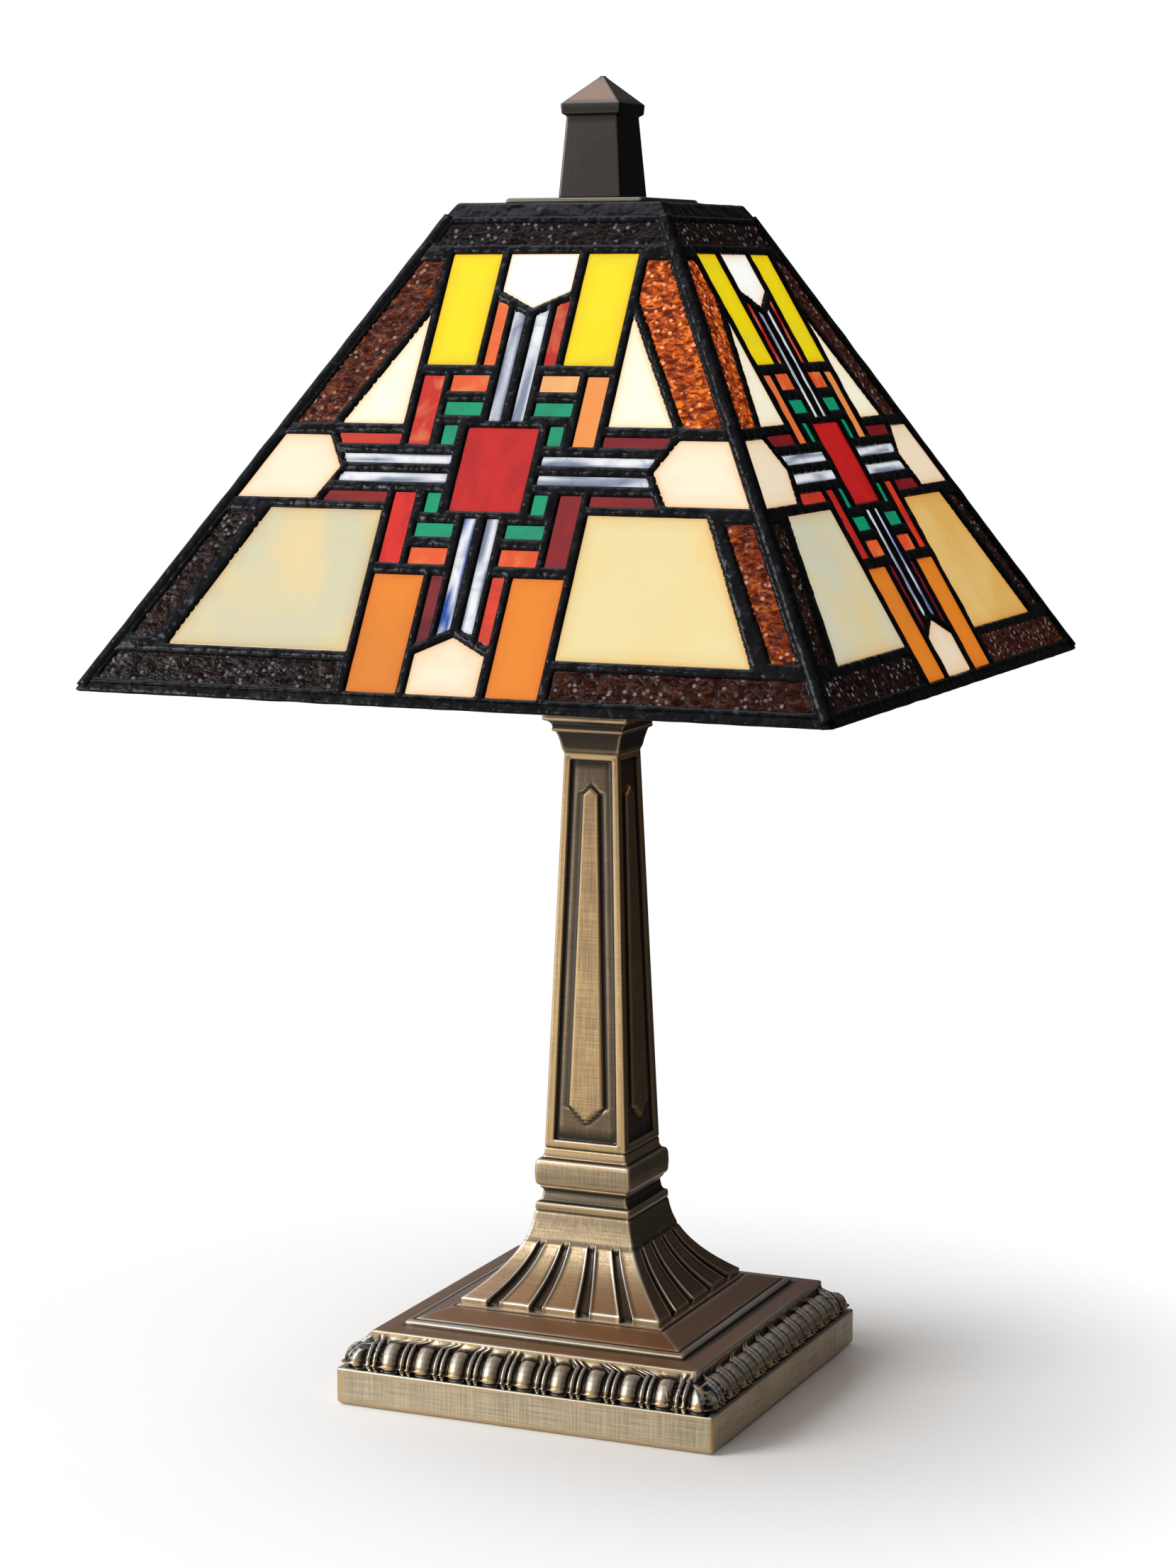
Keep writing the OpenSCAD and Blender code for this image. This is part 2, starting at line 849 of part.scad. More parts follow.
module finial_block() {
    foot = finial_width / 2;
    brow = cap_top_height + finial_height - 15.5;
    color("#3a3128") difference() {
        square_solid([
            [foot, cap_top_height], [foot - 2.4, brow], [foot - 0.9, brow + 1],
            [foot - 0.6, brow + 4.5], [0.6, cap_top_height + finial_height]
        ]);
        disc(insert_radius + 0.3, 0, insert_top_height + 0.3);
    }
}

base_casting();
base_pad();
base_weight();
lock_washer();
lock_nut();
cord_bushing();
threaded_pipe();
collar();
column_shaft();
capital();
check_ring();
harp_saddle();
harp_wire();
harp_stud();
ferrule_left();
ferrule_right();
socket_cap();
socket_shell();
insulating_sleeve();
socket_interior();
screw_shell();
centre_contact();
terminal_screws();
switch_stem();
switch_knob();
bulb_cap();
bulb_contact();
bulb_glass();
bulb_stem();
crown_plate();
crown_band();
bottom_rim();
hip_cames();
came_front();
came_right();
came_back();
came_left();
glass_yellow();
glass_white();
glass_cream();
glass_opal();
glass_peach();
glass_amber();
glass_red();
glass_dark_red();
glass_orange();
glass_green();
glass_streaky();
glass_brown();
cap_plate();
finial_insert();
finial_block();
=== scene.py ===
"""Square stained glass table lamp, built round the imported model: leaded glass shade, harp, socket,
lit bulb, and a cast base and column in antique bronze. Lengths are in millimetres, but in metres for
the camera, the lights, the floor and the materials."""

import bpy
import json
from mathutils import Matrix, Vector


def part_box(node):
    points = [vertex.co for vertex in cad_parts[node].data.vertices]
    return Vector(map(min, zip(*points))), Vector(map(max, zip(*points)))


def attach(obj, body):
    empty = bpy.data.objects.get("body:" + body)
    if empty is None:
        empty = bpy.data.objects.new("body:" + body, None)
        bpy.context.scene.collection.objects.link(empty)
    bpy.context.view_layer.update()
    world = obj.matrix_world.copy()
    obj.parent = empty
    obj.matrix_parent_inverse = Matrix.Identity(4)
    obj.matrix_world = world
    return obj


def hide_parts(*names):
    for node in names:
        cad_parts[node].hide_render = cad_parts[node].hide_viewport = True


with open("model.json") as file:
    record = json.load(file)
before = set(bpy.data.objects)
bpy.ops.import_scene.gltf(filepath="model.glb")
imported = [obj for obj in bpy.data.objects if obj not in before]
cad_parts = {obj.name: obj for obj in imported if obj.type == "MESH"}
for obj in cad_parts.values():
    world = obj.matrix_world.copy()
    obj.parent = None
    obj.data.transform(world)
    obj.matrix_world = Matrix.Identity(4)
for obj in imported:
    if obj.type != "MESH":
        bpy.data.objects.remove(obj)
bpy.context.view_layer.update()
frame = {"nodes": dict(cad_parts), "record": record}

import json
from math import atan2, cos, hypot, pi, radians, sin, sqrt

import bmesh
import bpy
import numpy as np
from mathutils import Euler, Vector, noise

MM = 0.001
QUARTER_TURNS = ((1, 0), (0, 1), (-1, 0), (0, -1))  # cosine and sine of 0, 90, 180 and 270 degrees


def box_mm(node):
    """A CAD node's lowest and highest corner in millimetres."""
    low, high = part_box(node)
    return low / MM, high / MM


# ---- Camera, light and floor -------------------------------------------------

CAMERA_AT = (0.564, -1.3055, 0.4424)
CAMERA_YAW, CAMERA_PITCH = 23.6, -7.92
CAMERA_LENS = 82.06
PAPER_WHITE = (1.0, 1.0, 1.0)
AMBIENT_STRENGTH = 0.55
BRIGHT_SIDE = (-0.8, -0.5, 0.33)
DARK_SIDE_COLOUR = (0.05, 0.05, 0.055)
FLOOR_RADIUS = 0.4
FLOOR_FADE = (0.10, 0.28)
FILAMENT_DEPTH = 30  # millimetres below the top of the bulb


def add_object(name, data):
    made = bpy.data.objects.new(name, data)
    bpy.context.scene.collection.objects.link(made)
    return made


def add_camera():
    data = bpy.data.cameras.new("camera")
    data.lens = CAMERA_LENS
    data.sensor_width = 36
    camera = add_object("camera", data)
    camera.location = CAMERA_AT
    camera.rotation_euler = Euler((radians(90 + CAMERA_PITCH), 0, radians(CAMERA_YAW)))
    bpy.context.scene.camera = camera


def add_softbox(name, at, aim, size, power, colour=(1, 1, 1)):
    """A rectangular lamp at a place, turned to face another."""
    data = bpy.data.lights.new(name, "AREA")
    data.shape = "RECTANGLE"
    data.size, data.size_y = size
    data.energy = power
    data.color = colour
    light = add_object(name, data)
    light.location = at
    light.rotation_euler = (Vector(aim) - Vector(at)).to_track_quat("-Z", "Y").to_euler()


def add_lights():
    add_softbox("key", (-1.5, -1.4, 1.1), (0, 0, 0.25), (1.1, 1.1), 42)
    add_softbox("front_fill", (-0.42, -0.58, 0.12), (0, 0, 0.05), (0.3, 0.3), 0.7)
    add_softbox("top", (-0.7, 0, 1.9), (0, 0, 0.2), (1.2, 1.2), 12, (0.84, 0.92, 1.0))
    add_softbox("rim", (1.9, 1.2, 1.4), (0, 0, 0.3), (0.2, 0.6), 0.7)
    bulb = bpy.data.lights.new("bulb_glow", "POINT")
    bulb.energy = 0.8
    bulb.color = (1.0, 0.72, 0.42)
    bulb.shadow_soft_size = 0.03
    bulb_top = box_mm("bulb_glass")[1].z
    add_object("bulb_glow", bulb).location = (0, 0, (bulb_top - FILAMENT_DEPTH) * MM)


def set_world():
    """White behind the object, and a softer light on it, bright from the left and dim from the right."""
    world = bpy.data.worlds.new("studio")
    bpy.context.scene.world = world
    world.use_nodes = True
    world.node_tree.nodes.clear()
    tree = Tree(world.node_tree)
    way = tree.node("TexCoord").outputs["Generated"]
    across = tree.node("VectorMath", {0: way, 1: BRIGHT_SIDE}, operation="DOT_PRODUCT").outputs["Value"]
    ramp = tree.node("ValToRGB", {"Fac": tree.map_range(across, -1, 1)})
    dark, bright = ramp.color_ramp.elements
    dark.position, bright.position = 0.3, 0.85
    dark.color = (*DARK_SIDE_COLOUR, 1)
    bright.color = (1, 1, 1, 1)
    ambient = tree.node("Background", {"Color": ramp.outputs["Color"], "Strength": AMBIENT_STRENGTH})
    paper = tree.node("Background", {"Color": PAPER_WHITE})
    seen = tree.node("LightPath").outputs["Is Camera Ray"]
    sky = tree.node("MixShader", {0: seen, 1: ambient.outputs[0], 2: paper.outputs[0]})
    tree.node("OutputWorld", {"Surface": sky.outputs[0]})


def add_floor():
    """A pale disc that fades into the white background away from the object."""
    mesh = bpy.data.meshes.new("floor")
    form = bmesh.new()
    bmesh.ops.create_circle(form, cap_ends=True, segments=96, radius=FLOOR_RADIUS)
    form.to_mesh(mesh)
    form.free()
    mat = Mat("floor_paper", roughness=0.9, specular=0.1)
    mat.colour(mat.mix(mat.noise(3, detail=2), (0.91, 0.91, 0.91), (0.95, 0.95, 0.95)))
    away = mat.node("VectorMath", {0: mat.position()}, operation="LENGTH").outputs["Value"]
    behind = mat.node("NewGeometry").outputs["Backfacing"]
    fade = mat.math("MAXIMUM", mat.map_range(away, *FLOOR_FADE), behind)
    clear = mat.node("BsdfTransparent")
    blend = mat.node("MixShader", {0: fade, 1: mat.shader.outputs[0], 2: clear.outputs[0]})
    mat.put(blend.outputs[0], mat.output.inputs["Surface"])
    mesh.materials.append(mat.material)
    add_object("floor", mesh)


# ---- Materials ---------------------------------------------------------------

class Tree:
    """Short helpers for a node tree."""

    def __init__(self, tree):
        self.tree = tree

    def put(self, value, socket):
        """Links an output, or sets a plain number or colour."""
        if isinstance(value, bpy.types.NodeSocket):
            self.tree.links.new(value, socket)
        elif isinstance(value, tuple) and len(value) == 3 and socket.type == "RGBA":
            socket.default_value = (*value, 1)
        else:
            socket.default_value = value

    def node(self, kind, inputs=(), **settings):
        """A new node, with what goes into its inputs by their name or number."""
        node = self.tree.nodes.new("ShaderNode" + kind)
        for key, value in settings.items():
            setattr(node, key, value)
        for socket, value in dict(inputs).items():
            self.put(value, node.inputs[socket])
        return node

    def math(self, operation, a, b):
        return self.node("Math", {0: a, 1: b}, operation=operation).outputs["Value"]

    def times(self, a, b):
        return self.math("MULTIPLY", a, b)

    def map_range(self, value, low, high, to_low=0.0, to_high=1.0):
        inputs = {0: value, 1: low, 2: high, 3: to_low, 4: to_high}
        return self.node("MapRange", inputs).outputs["Result"]

    def mix(self, share, a, b, mode="MIX"):
        """Two colours mixed. The Mix node's colours are its inputs 6 and 7 and its output 2."""
        node = self.node("Mix", {"Factor": share, 6: a, 7: b}, data_type="RGBA", blend_type=mode)
        return node.outputs[2]

    def tinted(self, colour, tint):
        """A colour multiplied by another, or by one number."""
        tint = tint if isinstance(tint, tuple) else (tint, tint, tint)
        return self.mix(1.0, colour, tint, "MULTIPLY")

    def toward(self, body, colour, value, low, high, most=1.0):
        """A colour that turns into another as a value goes from low to high."""
        return self.mix(self.map_range(value, low, high, 0, most), body, colour)


class Mat(Tree):
    """A Principled material with helpers for its patterns and sockets."""

    def __init__(self, name, metallic=0.0, roughness=0.5, specular=0.5, coat=0.0, coat_roughness=0.1):
        self.material = bpy.data.materials.new(name)
        self.material.use_nodes = True
        super().__init__(self.material.node_tree)
        self.shader = self.tree.nodes["Principled BSDF"]
        self.output = self.tree.nodes["Material Output"]
        values = {"Metallic": metallic, "Roughness": roughness, "Specular IOR Level": specular,
                  "Coat Weight": coat, "Coat Roughness": coat_roughness}
        for socket, value in values.items():
            self.shader.inputs[socket].default_value = value

    def position(self):
        return self.node("TexCoord").outputs["Object"]

    def attribute(self, name, output="Fac"):
        return self.node("Attribute", attribute_name=name).outputs[output]

    def scaled(self, scale):
        """Places across the piece, scaled by one number or by three."""
        scale = scale if isinstance(scale, tuple) else (scale, scale, scale)
        return self.node("Mapping", {"Scale": scale, "Vector": self.position()}).outputs["Vector"]

    def noise(self, scale, detail=3.0, rough=0.5, distortion=0.0):
        inputs = {"Vector": self.scaled(scale), "Scale": 1.0, "Detail": detail, "Roughness": rough,
                  "Distortion": distortion}
        return self.node("TexNoise", inputs).outputs["Fac"]

    def cells(self, scale):
        return self.node("TexVoronoi", {"Vector": self.scaled(scale), "Scale": 1.0}).outputs["Distance"]

    def colour(self, value):
        self.put(value, self.shader.inputs["Base Color"])

    def roughness(self, value):
        self.put(value, self.shader.inputs["Roughness"])

    def glow(self, value, strength):
        self.put(value, self.shader.inputs["Emission Color"])
        self.shader.inputs["Emission Strength"].default_value = strength

    def bump(self, height, distance, strength):
        node = self.node("Bump", {"Distance": distance, "Strength": strength, "Height": height})
        self.put(node.outputs["Normal"], self.shader.inputs["Normal"])


def times_each(share, colour):
    """A colour with each of its shares multiplied."""
    return tuple(share * c for c in colour)


def hatch(mat):
    """Fine brushing in two directions, like linen, from 0 to 1."""
    fine, long = 1500, 50
    rows = mat.noise((long, long, fine), detail=2)
    columns = mat.noise((fine, fine, long), detail=2)
    return mat.math("ADD", mat.times(rows, 0.5), mat.times(columns, 0.5))


def bronze(name, gold, brown, dark):
    """Antique bronze: gold where it is rubbed, nearly black in its recesses with dark patina. Painted
    light:
    copper brown on up-facing ledges for the glass's orange glow, a pale bluish highlight on rubbed edges
    that face up, browner higher up in the lampshade's shadow, and the shade each piece is given by height.
    """
    roughness = 0.42
    mat = Mat(name, metallic=0.82, roughness=roughness, specular=0.4, coat=0.5, coat_roughness=0.16)
    bend = mat.attribute("bend")
    weave = hatch(mat)
    blotch = mat.noise(60, detail=4)
    weave_sharp = mat.map_range(weave, 0.38, 0.62)
    body = mat.mix(mat.map_range(weave_sharp, 0, 1, 0.32, 0.78), brown, gold)
    body = mat.toward(body, brown, blotch, 0.42, 0.72, 0.5)
    height = mat.node("SeparateXYZ", {0: mat.position()}).outputs["Z"]
    # Painted shadow of the lampshade: browner and darker higher up the column
    body = mat.toward(body, brown, height, *LAMPSHADE_SHADOW_HEIGHTS, 0.62)
    pale = mat.mix(weave_sharp, times_each(0.55, PALE_GOLD), PALE_GOLD)
    low_down = mat.map_range(height, *BAND_HEIGHTS, 0.85, 0.4)
    below_shaft = mat.map_range(height, *COLLAR_HEIGHTS, 1, 0)
    body = mat.mix(mat.times(low_down, below_shaft), body, pale)
    normal = mat.node("TexCoord").outputs["Normal"]
    upward = mat.node("SeparateXYZ", {0: normal}).outputs["Z"]
    # Painted reflection of the glass's orange glow: up-facing surfaces turn copper brown
    ledge = mat.mix(weave, UPWARD_GLOW_BROWN, times_each(0.5, UPWARD_GLOW_BROWN))
    body = mat.toward(body, ledge, upward, 0.55, 0.9, 0.8)
    # sunk: dark patina in the recesses, plus the painted shade each piece is given by height
    body = mat.toward(body, dark, mat.attribute("sunk"), 0.2, 1.7)
    # Dark patina in concave hollows
    shade_and_patina = mat.map_range(bend, -0.38, -0.04, 0.95, 0)
    body = mat.mix(shade_and_patina, body, dark)
    rub = mat.times(mat.map_range(bend, 0.08, 0.5), mat.map_range(blotch, 0.3, 0.6, 0.6, 1))
    body = mat.mix(rub, body, times_each(0.85, gold))
    # Painted highlight: a pale bluish glint on rubbed edges that face up
    painted_glint = mat.times(rub, mat.map_range(upward, 0.2, 0.55, 0, 0.75))
    body = mat.mix(painted_glint, body, times_each(gold[0], PAINTED_GLINT_TINT))
    mat.colour(body)
    mat.roughness(mat.map_range(weave, 0.3, 0.7, roughness + 0.08, roughness - 0.1))
    mat.bump(weave, 0.00012, 0.5)
    return mat.material


def plain_metal(name, colour, roughness, fine=(400, 400, 60)):
    """Drawn or turned metal with faint tool marks and a slightly uneven tarnish."""
    mat = Mat(name, metallic=0.95, roughness=roughness)
    marks = mat.noise(fine, detail=3)
    tarnish = mat.noise(70, detail=4)
    mat.colour(mat.toward(colour, times_each(0.55, colour), tarnish, 0.35, 0.75, 0.7))
    mat.roughness(mat.map_range(marks, 0.3, 0.7, roughness - 0.08, roughness + 0.1))
    mat.bump(marks, 0.00005, 0.4)
    return mat.material


def moulded(name, colour, roughness, metallic=0.0):
    """Moulded or painted surface with a fine orange-peel grain."""
    mat = Mat(name, metallic=metallic, roughness=roughness)
    grain = mat.noise(900, detail=2)
    patch = mat.noise(40, detail=3)
    mat.colour(mat.toward(colour, times_each(0.6, colour), patch, 0.3, 0.7, 0.5))
    mat.roughness(mat.map_range(patch, 0.3, 0.7, roughness - 0.06, roughness + 0.08))
    mat.bump(grain, 0.00006, 0.4)
    return mat.material


def felt(name, colour):
    """Matt felt with fine matted fibres."""
    mat = Mat(name, roughness=0.95, specular=0.1)
    fibres = mat.noise(1500, detail=4, distortion=1.5)
    mat.colour(mat.mix(fibres, times_each(0.5, colour), times_each(1.4, colour)))
    mat.bump(fibres, 0.0003, 0.8)
    return mat.material


def patina(name):
    """Solder with a black patina: nearly black, glossy, with bluish bare spots on its lumps."""
    mat = Mat(name, metallic=0.4, roughness=0.3, specular=0.12)
    lumps = mat.noise(240, detail=1.5)
    bare = mat.noise(170, detail=3)
    black = mat.mix(lumps, (0.003, 0.003, 0.0035), (0.012, 0.012, 0.014))
    mat.colour(mat.toward(black, (0.08, 0.10, 0.14), bare, 0.64, 0.76, 0.35))
    mat.roughness(mat.map_range(lumps, 0.3, 0.7, 0.12, 0.3))
    mat.bump(lumps, 0.0013, 0.5)
    return mat.material


def art_glass(name, streak, streak_share, glow=0.85, stretch=(30, 30, 110)):
    """Opalescent glass lit from behind, its glow painted light from the bulb. The pane's own tone comes
    with its mesh, painted warmer and darker near its came as the came's shade.
    """
    mat = Mat(name, roughness=0.16, coat=0.25, coat_roughness=0.08)
    flow = mat.noise(stretch, detail=4, distortion=0.5)
    cloud = mat.noise(18, detail=3)
    body = mat.toward(mat.attribute("tone", "Color"), streak, flow, 0.47, 0.66, streak_share)
    body = mat.toward(body, mat.tinted(body, (0.86, 0.82, 0.74)), cloud, 0.35, 0.7, 0.22)
    # Painted shade of the came: the glow turns warmer and dimmer near the pane's edge
    at_came = mat.times(mat.math("SUBTRACT", 1.0, mat.attribute("rim")), 0.9)
    body = mat.mix(at_came, body, mat.tinted(body, (0.86, 0.60, 0.38)))
    mat.colour(mat.tinted(body, 0.22))
    mat.glow(body, glow)
    mat.bump(mat.noise(60, detail=2), 0.0004, 0.35)
    return mat.material


def streaky_glass(name):
    """White glass with blue and grey streaks, its glow painted light from the bulb, painted darker near its
    came as the came's shade.
    """
    mat = Mat(name, roughness=0.14, coat=0.25, coat_roughness=0.08)
    tone = mat.attribute("tone", "Color")
    flow = mat.noise(70, detail=5, rough=0.65, distortion=2.0)
    body = mat.toward(tone, mat.tinted(tone, (0.35, 0.42, 0.6)), flow, 0.5, 0.68, 0.5)
    # Painted shade of the came: the glow dims near the pane's edge
    at_came = mat.math("SUBTRACT", 1.0, mat.attribute("rim"))
    body = mat.mix(at_came, body, mat.tinted(body, (0.42, 0.42, 0.5)))
    mat.colour(mat.tinted(body, 0.15))
    mat.glow(body, 0.85)
    mat.bump(flow, 0.0004, 0.3)
    return mat.material


def hammered_glass(name):
    """Dark amber glass with a hammered face, its glow painted light from the bulb: painted bright where the
    glass is thin, black where it is thick, with painted glints in small spots.
    """
    mat = Mat(name, roughness=0.07, specular=0.08)
    tone = mat.attribute("tone", "Color")
    thick = mat.noise((300, 300, 520), detail=3, distortion=0.8)
    # Painted light: the glow is darkest where the glass is thick and brightest where it is thin
    body = mat.toward(mat.tinted(tone, (0.22, 0.14, 0.10)), tone, thick, 0.40, 0.60)
    body = mat.toward(body, mat.tinted(tone, (1.7, 2.6, 2.0)), thick, 0.57, 0.66, 0.8)
    # Painted glints: small pale spots where the lights would catch the hammered face
    glint_spots = mat.map_range(mat.cells(340), 0.20, 0.32, 1, 0)
    glint_spots = mat.times(glint_spots, mat.map_range(mat.noise(110, detail=1), 0.40, 0.55))
    bright = mat.mix(1.0, mat.tinted(tone, (1.8, 3.2, 2.2)), (0.12, 0.14, 0.16), "ADD")
    body = mat.mix(glint_spots, body, bright)
    mat.colour(mat.tinted(body, (0.05, 0.04, 0.04)))
    mat.glow(body, 0.95)
    mat.bump(thick, 0.001, 0.6)
    return mat.material


def frosted_bulb(name):
    """White glass of a lit bulb, with a faint cloud."""
    mat = Mat(name, roughness=0.5, specular=0.4)
    cloud = mat.noise(60, detail=2)
    white = mat.mix(cloud, (1.0, 0.74, 0.42), (1.0, 0.84, 0.58))
    mat.colour(white)
    mat.glow(white, 0.85)
    return mat.material


GOLD = (0.58, 0.395, 0.185)
PALE_GOLD = (0.61, 0.51, 0.35)
BROWN = (0.16, 0.095, 0.045)
DARK = (0.022, 0.016, 0.011)
# Painted reflection of the glass's orange glow on up-facing ledges
UPWARD_GLOW_BROWN = (0.40, 0.18, 0.085)
# Heights in metres over which the painted shadow of the lampshade darkens the column
LAMPSHADE_SHADOW_HEIGHTS = (0.16, 0.27)
BAND_HEIGHTS = (0.012, 0.018)
COLLAR_HEIGHTS = (0.090, 0.100)
# Tint of the painted highlight on up-facing rubbed edges
PAINTED_GLINT_TINT = (0.95, 1.08, 1.16)


def make_materials():
    """One material for each slot in the record."""
    recipes = {
        "antique_bronze": (bronze, GOLD, BROWN, DARK),
        "cap_bronze": (bronze, (0.12, 0.085, 0.04), (0.04, 0.027, 0.016), DARK),
        "dark_bronze": (bronze, (0.03, 0.024, 0.02), (0.012, 0.010, 0.009), (0.006, 0.005, 0.004)),
        "felt": (felt, (0.02, 0.06, 0.035)),
        "weight_iron": (moulded, (0.06, 0.06, 0.065), 0.8, 0.6),
        "zinc_steel": (plain_metal, (0.55, 0.54, 0.50), 0.35),
        "plain_brass": (plain_metal, (0.55, 0.38, 0.13), 0.3),
        "bushing_black": (moulded, (0.012, 0.012, 0.012), 0.5),
        "knob_bakelite": (moulded, (0.016, 0.010, 0.008), 0.22),
        "socket_phenolic": (moulded, (0.02, 0.017, 0.014), 0.5),
        "fibre_sleeve": (moulded, (0.045, 0.042, 0.038), 0.8),
        "thin_aluminium": (plain_metal, (0.72, 0.73, 0.72), 0.28, (60, 60, 700)),
        "contact_solder": (plain_metal, (0.4, 0.4, 0.38), 0.4),
        "bulb_frosted": (frosted_bulb,),
        "bulb_clear": (moulded, (0.8, 0.78, 0.7), 0.1),
        "crown_steel": (moulded, (0.02, 0.018, 0.016), 0.45, 0.5),
        "patina_came": (patina,),
        "glass_yellow": (art_glass, (0.75, 0.70, 0.03), 0.35),
        "glass_white": (art_glass, (0.96, 0.95, 0.92), 0.3, 0.98),
        "glass_cream": (art_glass, (1.0, 0.95, 0.78), 0.4, 0.92),
        "glass_opal": (art_glass, (0.95, 0.68, 0.27), 0.55, 0.8, (26, 26, 12)),
        "glass_peach": (art_glass, (0.95, 0.86, 0.68), 0.4, 0.86),
        "glass_amber": (art_glass, (0.62, 0.20, 0.03), 0.45, 0.85, (14, 14, 50)),
        "glass_red": (art_glass, (0.36, 0.008, 0.008), 0.5, 0.85, (130, 130, 22)),
        "glass_dark_red": (art_glass, (0.35, 0.02, 0.015), 0.5),
        "glass_orange": (art_glass, (0.85, 0.36, 0.14), 0.5, 0.85, 90),
        "glass_green": (art_glass, (0.02, 0.20, 0.14), 0.5, 0.85, 80),
        "glass_streaky": (streaky_glass,),
        "glass_brown": (hammered_glass,),
    }
    return {slot: maker(slot, *values) for slot, (maker, *values) in recipes.items()}


SLOT_OF = {part["node"]: part["material_slot"] for part in frame["record"]["subparts"]}
BODY_OF = {node: body for body, nodes in frame["record"]["behaviour"]["bodies"].items() for node in nodes}


# ---- Making pieces -----------------------------------------------------------

BEND_REACH = 1.8
ROUNDING_STEPS = 3
CORNER_STEPS = 4


def add_piece(name, vertices, faces, node, attributes=()):
    """A smooth mesh piece in millimetres that rides with a CAD node's body and takes its place."""
    mesh = bpy.data.meshes.new(name)
    points = np.asarray(vertices, float) * MM
    mesh.from_pydata(points.tolist(), [], faces)
    mesh.validate()
    piece = add_object(name, mesh)
    for key, values in attributes:
        values = np.asarray(values, np.float32)
        if values.ndim == 1:
            mesh.attributes.new(key, "FLOAT", "POINT").data.foreach_set("value", values)
        else:
            rgba = np.concatenate([values, np.ones((len(values), 1), np.float32)], axis=1)
            mesh.attributes.new(key, "FLOAT_COLOR", "POINT").data.foreach_set("color", rgba.ravel())
    mesh.shade_smooth()
    mesh.materials.append(MATERIALS[SLOT_OF[node]])
    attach(piece, BODY_OF[node])
    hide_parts(node)
    return piece


def read_points(items, key, size, kind=float):
    """A value of every item of a mesh, as rows of the given size."""
    values = np.empty(len(items) * size, kind)
    items.foreach_get(key, values)
    return values.reshape(-1, size)


def add_bend(mesh):
    """Stores how convex (to 1) or hollow (to -1) the surface is at each point, over BEND_REACH."""
    place = read_points(mesh.vertices, "co", 3)
    normal = read_points(mesh.vertex_normals, "vector", 3)
    ends = read_points(mesh.edges, "vertices", 2, int)
    along = place[ends[:, 1]] - place[ends[:, 0]]
    turn = normal[ends[:, 1]] - normal[ends[:, 0]]
    length = np.maximum((along ** 2).sum(1), 1e-12)
    curve = (along * turn).sum(1) / length
    total = np.zeros(len(place))
    shared = np.zeros(len(place))
    for column in (0, 1):
        np.add.at(total, ends[:, column], curve)
        np.add.at(shared, ends[:, column], 1)
    bend = np.clip(total / np.maximum(shared, 1) * BEND_REACH * MM, -1, 1)
    mesh.attributes.new("bend", "FLOAT", "POINT").data.foreach_set("value", bend.astype(np.float32))


def softened(points, radius):
    """An outline with each corner but its ends rounded."""
    out = [points[0]]
    for before, here, after in zip(points, points[1:], points[2:]):
        here_v = Vector(here)
        back, on = Vector(before) - here_v, Vector(after) - here_v
        reach = min(radius, 0.4 * back.length, 0.4 * on.length)
        start = here_v + back.normalized() * reach
        end = here_v + on.normalized() * reach
        for k in range(ROUNDING_STEPS + 1):
            t = k / ROUNDING_STEPS
            out.append(tuple((1 - t) ** 2 * start + 2 * t * (1 - t) * here_v + t * t * end))
    out.append(points[-1])
    return out


def densified(points, longest):
    """The same outline with no stretch longer than a given length."""
    out = [points[0]]
    for a, b in zip(points, points[1:]):
        pieces = max(1, int(np.ceil(hypot(b[0] - a[0], b[1] - a[1]) / longest)))
        for k in range(1, pieces + 1):
            t = k / pieces
            out.append((a[0] + (b[0] - a[0]) * t, a[1] + (b[1] - a[1]) * t))
    return out


def fitted(places, half, reach):
    """Places across a face, squeezed near its ends so that the last ones leave room for the corner."""
    keep = 0.82 * reach
    squeeze = (reach - keep) / (half - keep)

    def fit(x):
        return x if abs(x) < keep else (keep + (abs(x) - keep) * squeeze) * (1 if x > 0 else -1)

    return [fit(x) for x in places]


def smooth_step(value):
    t = min(max(value, 0.0), 1.0)
    return t * t * (3 - 2 * t)


def ring_points(outline, sides):
    """Rings of points round the axis for an outline [(radius, height)]."""
    angles = [2 * pi * k / sides for k in range(sides)]
    return [(radius * cos(a), radius * sin(a), z) for radius, z in outline for a in angles]


def ring_faces(rings, around, start=0, caps=False):
    """Faces between rings of points, each ring closed on itself, and a cap on the first and last ring."""
    faces = []
    for i in range(rings - 1):
        low, high = start + i * around, start + (i + 1) * around
        for k in range(around):
            n = (k + 1) % around
            faces.append((low + k, low + n, high + n, high + k))
    if caps:
        last = start + (rings - 1) * around
        faces.append(tuple(reversed(range(start, start + around))))
        faces.append(tuple(range(last, last + around)))
    return faces


def value_at(value, *place):
    """A plain number, or what a function gives at a place."""
    return value(*place) if callable(value) else value


